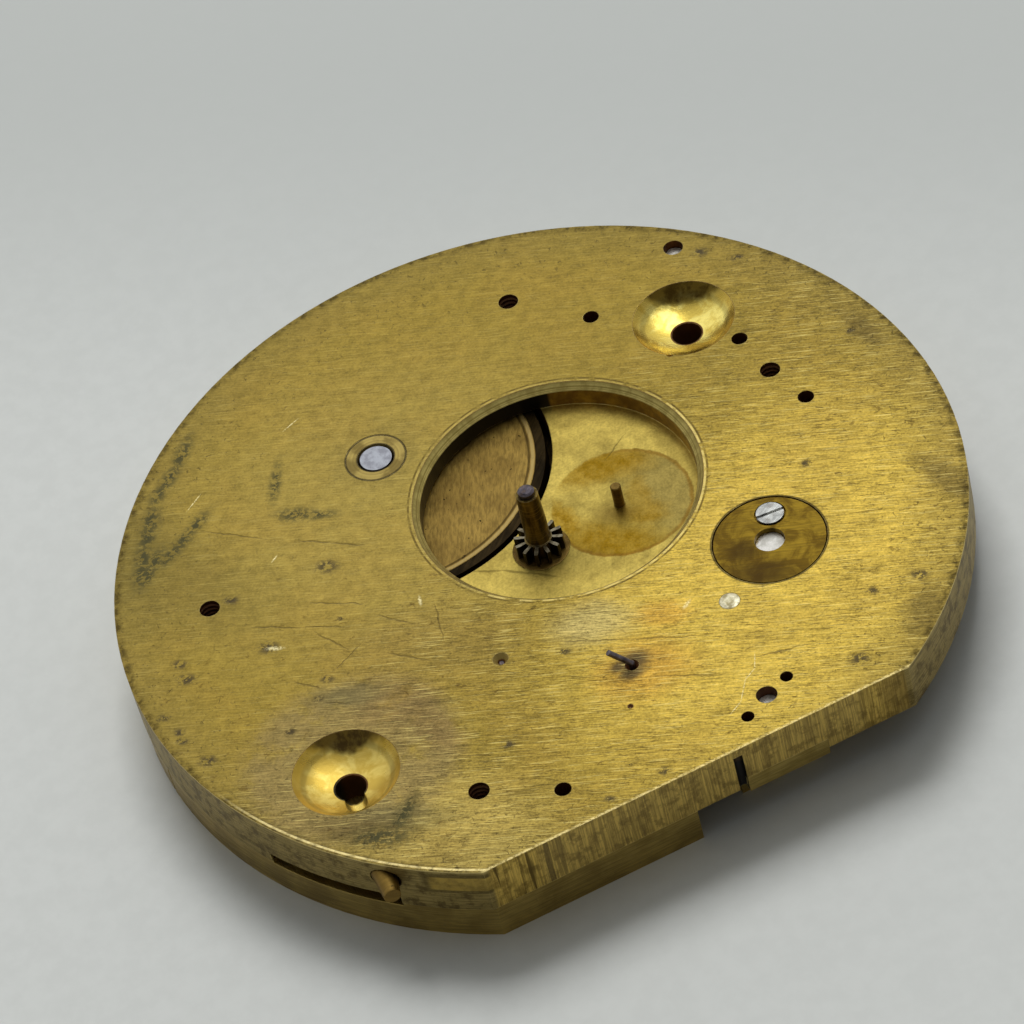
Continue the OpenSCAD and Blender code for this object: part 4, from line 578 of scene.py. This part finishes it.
    def rim_colour(self):
        """The rim: fine lines round the plate, dirt in bands, a light top edge that is both rubbed
        and painted highlight, a rubbed rectangle at the left.
        """
        lines = self.noise(self.turned(self.rim_at, 0, (0.5, 14, 1)), 1.0, 4.0, 0.6)
        tone = self.mix(self.span(lines, 0.35, 0.65), srgb(124, 108, 62), srgb(164, 144, 88))
        tone = self.mix(self.span(self.rim_spots, 0.46, 0.62, 0.0, 0.75), tone, srgb(86, 70, 36))
        # a light band along the top edge: rubbed edge and painted highlight
        tone = self.mix(self.span(self.z, -0.10, -0.03, 0.0, 0.75), tone, srgb(226, 204, 136))
        box = self.times(self.between(self.around, (BOX_LEFT - 0.01, BOX_LEFT + 0.008),
                                      (BOX_RIGHT + 0.008, BOX_RIGHT - 0.01)),
                         self.between(self.z, (BOX_LOW - 0.04, BOX_LOW + 0.04),
                                      (BOX_HIGH + 0.04, BOX_HIGH - 0.04)))
        inner = self.times(self.between(self.around, (BOX_LEFT + 0.008, BOX_LEFT + 0.025),
                                        (BOX_RIGHT - 0.008, BOX_RIGHT - 0.025)),
                           self.between(self.z, (BOX_LOW + 0.16, BOX_LOW + 0.24),
                                        (BOX_HIGH - 0.20, BOX_HIGH - 0.28)))
        tone = self.mix(self.times(box, self.span(self.rim_spots, 0.36, 0.60, 0.75, 0.35)), tone,
                        srgb(78, 64, 30))
        return self.mix(self.times(inner, self.span(self.rim_spots, 0.40, 0.62, 0.9, 0.45)), tone,
                        srgb(180, 152, 74))

    def relief(self):
        """Height of the surface for the bump: grain, scratches, pits and grooves."""
        height = self.times(self.fine, self.span(self.rubbed, 0, 1, 0.3, 0.7))
        height = self.plus(height, self.wide, 0.4)
        height = self.plus(height, self.larger(self.dashes, self.dark_lines), -0.5)
        height = self.plus(height, self.larger(self.marks, self.pits), -0.6)
        height = self.plus(height, self.larger(self.dots, self.nicks), -0.5)
        height = self.times(height, self.plus(0.15, self.face, 0.85))
        height = self.plus(height, self.times(self.cross, self.floor), 0.2)
        height = self.plus(height, self.times(self.lip_rings, self.lip), 0.5)
        cuts = self.math("ADD", self.grooves, self.coarse)
        height = self.plus(height, self.times(cuts, self.saw), 1.5)
        height = self.plus(height, self.speck, 0.25)
        return self.plus(height, self.times(self.rim_spots, self.rim), 1.2)

    def roughness(self):
        rough = self.math("ADD", self.span(self.fine, 0.3, 0.7, 0.48, 0.38),
                          self.times(self.larger(self.halo, self.oil), 0.12))
        rough = self.plus(rough, self.floor, -0.06)
        rough = self.plus(rough, self.dish, -0.20)
        return self.plus(rough, self.larger(self.saw, self.rim), 0.08)

    def metallic(self, wall):
        """Less than 1 where dirt and oxide hide the metal, as in stains, oil and holes."""
        bare = self.larger(self.back, self.larger(self.dish, self.lip))
        hole = self.times(self.math("SUBTRACT", wall, bare, clamp=True),
                          self.span(self.reach, PLATE_RADIUS - 1.1, PLATE_RADIUS - 1.5))
        dull = self.larger(self.larger(self.smears, self.dots),
                           self.larger(self.larger(self.oil, hole), self.times(self.halo, 0.4)))
        return self.math("SUBTRACT", 1.0, self.times(dull, 0.4))


def plate_material():
    g = Plate()
    g.find_places()
    g.draw_wear()
    tone = g.outlined(g.worn_face(g.face_colour()))
    tone = g.mix(g.floor, tone, g.recess_colour())
    wall = g.math("SUBTRACT", 1.0, g.larger(g.face, g.floor), clamp=True)
    tone = g.mix(wall, tone, g.wall_colour())
    tone = g.mix(g.dish, tone, g.dish_colour())
    tone = g.mix(g.saw, tone, g.saw_colour())
    tone = g.mix(g.rim, tone, g.rim_colour())
    soft, worn = g.worn_edge(0.08)
    worn = g.times(worn, g.span(g.rim_spots, 0.35, 0.60, 0.9, 0.1))
    tone = g.mix(worn, tone, srgb(222, 200, 128))
    normal = g.bump(g.relief(), 0.03, 0.8, soft)
    rough, metal = g.roughness(), g.metallic(wall)
    c, s = math.cos(math.radians(GRAIN)), math.sin(math.radians(GRAIN))
    tangent = g.add("ShaderNodeCombineXYZ", {0: c, 1: s})
    return g.finish(Base_Color=tone, Metallic=metal, Roughness=rough, Normal=normal,
                    Anisotropic=g.times(g.face, 0.35), Tangent=tangent)


# ---- the other metals and the jewels ----
def brass_material(name, light, dark, degrees, rough, across, dirt=0.35, lines=0.5):
    """Brushed brass: grain one way, clouds of tarnish, spots and rubbed edges."""
    g = Graph(name)
    grain = g.grain(g.mm, degrees, 0.45, across, 4.0)
    side = g.noise(g.turned(g.mm, degrees, (0.5, 0.5, 12)), 1.0, 3.0, 0.6)
    level = g.span(g.math("ABSOLUTE", g.nz), 0.4, 0.8)
    grain = g.add("ShaderNodeMix", {0: level, 2: side, 3: grain})
    cloud = g.noise(g.mm, 0.55, 4.0, 0.6, 0.4)
    spots = g.span(g.noise(g.mm, 3.0, 4.0, 0.7), 0.60, 0.68)
    tone = g.mix(g.span(cloud, 0.36, 0.66), light, dark)
    tone = g.mix(g.span(grain, 0.34, 0.64, lines, 0.0), tone, scaled(dark, 0.42))
    tone = g.cover(tone, spots, dirt, srgb(62, 50, 26))
    soft, worn = g.worn_edge(0.05)
    tone = g.cover(tone, worn, 0.7, scaled(light, 1.35))
    height = g.math("SUBTRACT", g.times(grain, 0.8), g.times(spots, 0.5))
    return g.finish(Base_Color=tone, Roughness=g.span(grain, 0.3, 0.7, rough + 0.08, rough - 0.06),
                    Normal=g.bump(height, 0.02, 0.8, soft))


def steel_material(name, light, dark, rough, degrees, across, rust):
    """Brushed steel: grain one way, clouds and, where there is rust, brown bloom."""
    g = Graph(name)
    grain = g.grain(g.mm, degrees, 0.6, across, 4.0)
    cloud = g.noise(g.mm, 1.2, 4.0, 0.6, 0.3)
    tone = g.mix(g.span(cloud, 0.35, 0.65), light, dark)
    tone = g.mix(g.span(grain, 0.35, 0.62, 0.3, 0.0), tone, scaled(dark, 0.4))
    bloom = g.span(g.noise(g.mm, 2.6, 4.0, 0.7), 0.52, 0.62)
    tone = g.cover(tone, bloom, rust, srgb(96, 70, 44))
    soft, worn = g.worn_edge(0.04)
    tone = g.cover(tone, worn, 0.6, scaled(light, 1.4))
    return g.finish(Base_Color=tone, Roughness=g.span(grain, 0.3, 0.7, rough + 0.08, rough - 0.05),
                    Metallic=g.math("SUBTRACT", 1.0, g.times(bloom, rust * 0.6)),
                    Normal=g.bump(grain, 0.012, 0.7, soft))


def cap_material():
    """Dull bronze of the balance endpiece: dark patches at the left and the bottom."""
    g = Graph("dull bronze")
    grain = g.grain(g.mm, GRAIN + 4, 0.4, 9.0, 4.0)
    cloud = g.noise(g.mm, 0.75, 5.0, 0.65, 0.8)
    tone = g.mix(g.span(cloud, 0.38, 0.60), srgb(146, 118, 36), srgb(104, 80, 22))
    low = g.patches(g.flat, [((8.1, -8.9), (1.6, 0.8), -35), ((8.0, -7.1), (0.8, 0.7))], 0.7)
    tone = g.cover(tone, low, 0.75, srgb(56, 40, 18))
    tone = g.mix(g.span(grain, 0.36, 0.62, 0.4, 0.0), tone, srgb(70, 54, 22))
    soft, worn = g.worn_edge(0.04)
    tone = g.cover(tone, worn, 0.4, srgb(190, 160, 74))
    return g.finish(Base_Color=tone, Roughness=0.38, Normal=g.bump(grain, 0.016, 0.8, soft))


def lid_material():
    """Brown barrel lid with slanting lines, black specks, a groove and a turned edge."""
    g = Graph("brown barrel brass")
    grain = g.grain(g.flat, 64, 1.6, 6.0, 5.0)
    cloud = g.noise(g.flat, 0.45, 4.0, 0.6, 0.3)
    tone = g.mix(g.span(cloud, 0.36, 0.64), srgb(158, 130, 66), srgb(130, 105, 52))
    tone = g.mix(g.span(grain, 0.36, 0.60, 0.55, 0.0), tone, srgb(92, 72, 36))
    specks = g.span(g.noise(g.flat, 2.4, 3.0, 0.6), 0.66, 0.71)
    tone = g.mix(specks, tone, srgb(40, 32, 16))
    reach = g.distance(g.flat, BARREL)
    ring = g.between(reach, (LID_RING - 0.12, LID_RING - 0.06), (LID_RING + 0.12, LID_RING + 0.06))
    groove = g.between(reach, (LID_GROOVE - 0.08, LID_GROOVE - 0.04),
                       (LID_GROOVE + 0.08, LID_GROOVE + 0.04))
    tone = g.cover(tone, ring, 0.7, srgb(176, 152, 96))
    tone = g.cover(tone, groove, 0.7, srgb(52, 38, 18))
    return g.finish(Base_Color=tone, Roughness=0.48, Normal=g.bump(grain, 0.025, 0.9))


def cannon_material():
    """The cannon pinion: olive-brown tube; leaves with flat tops painted pale as lit and flanks
    painted dark as shade.
    """
    g = Graph("browned cannon steel")
    reach = g.add("ShaderNodeVectorMath", {0: g.flat}, out="Value", operation="LENGTH")
    leaf = g.times(g.span(reach, CANNON_TUBE + 0.04, CANNON_TUBE + 0.10),
                   g.span(g.z, CANNON_LEAVES, CANNON_LEAVES - 0.07))
    streaks = g.noise(g.turned(g.mm, 0, (2.2, 2.2, 0.5)), 1.0, 5.0, 0.65)
    tube = g.mix(g.span(streaks, 0.36, 0.62), srgb(122, 102, 52), srgb(62, 50, 26))
    rings = g.noise(g.turned(g.mm, 0, (0.4, 0.4, 9)), 1.0, 3.0, 0.6)
    tube = g.mix(g.span(rings, 0.52, 0.66, 0.0, 0.5), tube, srgb(150, 128, 72))
    # lit and shaded copies of one steel: pale tops as painted light, dark flanks as painted shade
    top = g.mix(g.span(g.noise(g.mm, 3.0, 3.0, 0.6), 0.4, 0.6), srgb(132, 124, 104),
                srgb(92, 84, 66))
    shaded_flank = srgb(54, 46, 34)
    tone = g.mix(leaf, tube, g.mix(g.span(g.nz, 0.5, 0.9), shaded_flank, top))
    soft, worn = g.worn_edge(0.03)
    tone = g.cover(tone, worn, 0.35, srgb(190, 176, 140))
    return g.finish(Base_Color=tone, Roughness=g.span(rings, 0.3, 0.7, 0.46, 0.32),
                    Normal=g.bump(rings, 0.01, 0.7, soft))


def bush_material():
    """Turned brass bush: rings round the barrel arbor, dirt in its step."""
    g = Graph("turned bush brass")
    reach = g.distance(g.flat, BARREL)
    rings = g.noise(g.add("ShaderNodeCombineXYZ", {0: reach}), 9.0, 3.0, 0.6)
    tone = g.mix(g.span(g.noise(g.mm, 1.0, 4.0, 0.6), 0.38, 0.62), srgb(172, 150, 84),
                 srgb(126, 108, 58))
    tone = g.mix(g.span(rings, 0.36, 0.60, 0.35, 0.0), tone, srgb(96, 78, 40))
    rim = g.larger(g.span(reach, BUSH_RADIUS - 0.09, BUSH_RADIUS - 0.01),
                   g.span(reach, BUSH_STEP + 0.04, BUSH_STEP - 0.01))
    tone = g.cover(tone, rim, 0.85, srgb(44, 35, 20))
    soft, worn = g.worn_edge(0.04)
    tone = g.cover(tone, worn, 0.5, srgb(226, 204, 140))
    return g.finish(Base_Color=tone, Roughness=0.36, Normal=g.bump(rings, 0.01, 0.7, soft))


def rough_metal(name, light, dark, scale, rough, depth, metal=1.0):
    """Metal with small lumps and no grain, as cast, filed or stained."""
    g = Graph(name)
    lumps = g.noise(g.mm, scale, 4.0, 0.6)
    tone = g.mix(g.span(lumps, 0.36, 0.62), dark, light)
    soft, worn = g.worn_edge(0.04)
    tone = g.cover(tone, worn, 0.4, scaled(light, 1.3))
    return g.finish(Base_Color=tone, Metallic=metal,
                    Roughness=g.span(lumps, 0.35, 0.65, rough + 0.1, rough - 0.1),
                    Normal=g.bump(lumps, depth, 0.9, soft))


def ruby_material():
    g = Graph("garnet jewel")
    garnet = (0.45, 0.03, 0.06)
    veil = g.noise(g.mm, 5.0, 3.0, 0.6)
    tone = g.mix(g.span(veil, 0.35, 0.65, 0.0, 0.3), garnet, scaled(garnet, 0.5))
    return g.finish(Base_Color=tone, Metallic=0.0, Roughness=g.span(veil, 0.3, 0.7, 0.06, 0.14),
                    IOR=1.76, Transmission_Weight=0.55)


BRIDGE = brass_material("brushed bridge brass", srgb(190, 164, 92), srgb(160, 136, 74), 90, 0.38,
                        13.0, 0.2)
COCK = brass_material("brushed cock brass", srgb(198, 172, 98), srgb(166, 142, 76), 60, 0.36,
                      13.0, 0.2)
WHEEL = brass_material("fine wheel brass", srgb(222, 192, 108), srgb(186, 154, 78), 10, 0.30,
                       16.0, 0.2, 0.3)
# the drum near black: painted shade of the gap between the recess wall and the barrel
SHADED_DRUM = brass_material("barrel drum in painted shade", srgb(54, 42, 22), srgb(30, 23, 12), 44, 0.5, 8.0)
PIN_BRASS = brass_material("old pin brass", srgb(132, 106, 52), srgb(84, 64, 30), 0, 0.46, 8.0,
                           0.6, 0.15)
SCREW = steel_material("screw steel", srgb(206, 206, 202), srgb(150, 150, 148), 0.26, 30, 12.0,
                       0.25)
BLUE = steel_material("blued screw steel", srgb(70, 82, 130), srgb(40, 48, 86), 0.22, 30, 12.0,
                      0.1)
PALE = steel_material("pale steel", srgb(204, 206, 206), srgb(160, 162, 164), 0.22, -30, 14.0,
                      0.05)
ARBOR = steel_material("arbor steel", srgb(128, 120, 128), srgb(72, 66, 72), 0.34, 80, 8.0, 0.35)
SPRING = steel_material("spring steel", srgb(92, 94, 104), srgb(56, 58, 68), 0.3, 0, 9.0, 0.1)
SCREW_END = rough_metal("filed screw steel", srgb(236, 232, 220), srgb(176, 172, 160), 3.0, 0.4,
                        0.03, 0.4)
END_STEEL = rough_metal("arbor end steel", srgb(166, 168, 176), srgb(142, 142, 150), 2.2, 0.42,
                        0.015)
SILVER = rough_metal("nickel bush", srgb(224, 216, 186), srgb(172, 160, 122), 3.0, 0.45, 0.06)
STONE = rough_metal("pale endstone", srgb(214, 210, 204), srgb(180, 176, 168), 1.6, 0.34, 0.01)

NODES_OF = (
    (plate_material(), "main_plate"),
    (BRIDGE, "barrel_bridge train_bridge"),
    (COCK, "centre_bridge balance_cock escapement_cock"),
    (WHEEL, "centre_wheel third_wheel fourth_wheel balance_wheel balance_screws curb_pins"
            " hairspring_collet"),
    (SHADED_DRUM, "barrel_drum"),
    (PIN_BRASS, "centre_bush minute_wheel_post dial_foot_pin steady_pins"),
    (SCREW, "endpiece_screw banking_pins"),
    (BLUE, "bridge_screws endstone_cap_screws click_screw hairspring"),
    (PALE, "hairspring_stud ratchet_wheel click regulator endstone_cap escape_wheel pallet_fork"
           " roller"),
    (ARBOR, "setting_arbor centre_pinion third_pinion fourth_pinion escape_pinion pallet_arbor"
            " balance_staff"),
    (SPRING, "mainspring click_spring"),
    (SCREW_END, "cock_screws case_screw"),
    (END_STEEL, "barrel_arbor"),
    (SILVER, "pallet_bush"),
    (STONE, "lower_endstone"),
    (bush_material(), "barrel_bush"),
    (cap_material(), "balance_endpiece"),
    (lid_material(), "barrel_lid"),
    (cannon_material(), "cannon_pinion"),
    (ruby_material(), "escapement_jewels pallet_stones impulse_jewel lower_balance_jewel"
                      " upper_balance_jewel upper_endstone"),
)
MATERIAL = {name: material for material, names in NODES_OF for name in names.split()}
for name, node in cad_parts.items():
    if len(node.material_slots) == 0:
        node.data.materials.append(MATERIAL[name])
    for place in node.material_slots:
        place.material = MATERIAL[name]


# ---- floor, lamp, world and camera; metres from here on ----
AWAY = (0.56, 0.82, 0)  # toward the back of the table, as the camera sees it


def table_material():
    g = Graph("pale table")
    speck = g.noise(g.coord, 900.0, 3.0, 0.6)
    wide = g.noise(g.coord, 14.0, 3.0, 0.5)
    far = g.dot(g.coord, AWAY)
    tone = g.mix(g.span(speck, 0.3, 0.7), srgb(200, 202, 199), srgb(205, 207, 204))
    tone = g.mix(g.span(wide, 0.3, 0.7, 0.0, 0.4), tone, srgb(197, 199, 195))
    # darker toward the back: painted falloff of the window's light
    tone = g.mix(g.span(far, 0.004, 0.040, 0.0, 0.9), tone, srgb(180, 183, 180))
    return g.finish(Base_Color=tone, Metallic=0.0, Roughness=0.75,
                    Normal=g.bump(speck, 0.02, 0.3))


HALF_TABLE = 3.0
floor_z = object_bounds()[0][2]
corners = ((-1, -1), (1, -1), (1, 1), (-1, 1))
mesh = bpy.data.meshes.new("table")
mesh.from_pydata([(x * HALF_TABLE, y * HALF_TABLE, floor_z) for x, y in corners], [],
                 [(0, 1, 2, 3)])
mesh.materials.append(table_material())
table = bpy.data.objects.new("table", mesh)
bpy.context.scene.collection.objects.link(table)

# a wide window behind the table; it lights the table, and metal reflects the room instead
WINDOW_AT = Vector((0.20, 0.68, 0.88))
lamp = bpy.data.lights.new("window", "AREA")
lamp.shape = "RECTANGLE"
lamp.size, lamp.size_y = 0.58, 0.48
lamp.energy = 10.6
window = bpy.data.objects.new("window", lamp)
window.location = WINDOW_AT
window.rotation_euler = (-WINDOW_AT).to_track_quat("-Z", "Y").to_euler()
window.visible_glossy = False
bpy.context.scene.collection.objects.link(window)

# the room: dark in front, bright at the back; metal reflects it brighter, and a pane with it
BACK_OF_ROOM = (0.17, 0.80, 0.57)
DARK_END, BRIGHT_END = 0.22, 0.86
TO_PANE = (0.44, 0.14, 0.887)
world = bpy.data.worlds.new("room")
bpy.context.scene.world = world
world.use_nodes = True
world.cycles.sampling_method = "NONE"
w = Nodes(world.node_tree)
direction = w.add("ShaderNodeTexCoord", out="Generated")
lean = w.dot(direction, BACK_OF_ROOM)
pane = w.span(w.dot(direction, TO_PANE), 0.86, 0.96, 0.0, 1.35)
reflected = w.math("ADD", pane, w.span(lean, DARK_END, BRIGHT_END, 0.36, 1.05))
diffuse = w.span(lean, DARK_END, BRIGHT_END, 0.12, 0.66)
is_diffuse = w.add("ShaderNodeLightPath", out="Is Diffuse Ray")
strength = w.add("ShaderNodeMix", {0: is_diffuse, 2: reflected, 3: diffuse})
room = w.add("ShaderNodeBackground", {"Color": (0.98, 1.0, 0.99, 1), "Strength": strength})
w.tree.links.new(room, w.tree.nodes.new("ShaderNodeOutputWorld").inputs["Surface"])

# the camera at the photograph's place; right, up and ahead are its axes in the part's frame
CAMERA_AT = Vector((-0.0411347, -0.1667920, 0.1787012))
right = Vector((0.892759, -0.410888, -0.184806))
up = Vector((0.419958, 0.610398, 0.671603))
ahead = Vector((0.163148, 0.677190, -0.717493))
view = bpy.data.cameras.new("camera")
view.sensor_width = 36.0
view.lens = 175.87
view.clip_start = 0.005
view.clip_end = 20
camera = bpy.data.objects.new("camera", view)
turn = Matrix((right, up, -ahead)).transposed().to_4x4()
camera.matrix_world = Matrix.Translation(CAMERA_AT) @ turn
bpy.context.scene.collection.objects.link(camera)
bpy.context.scene.camera = camera
bpy.context.scene.view_settings.view_transform = "Standard"
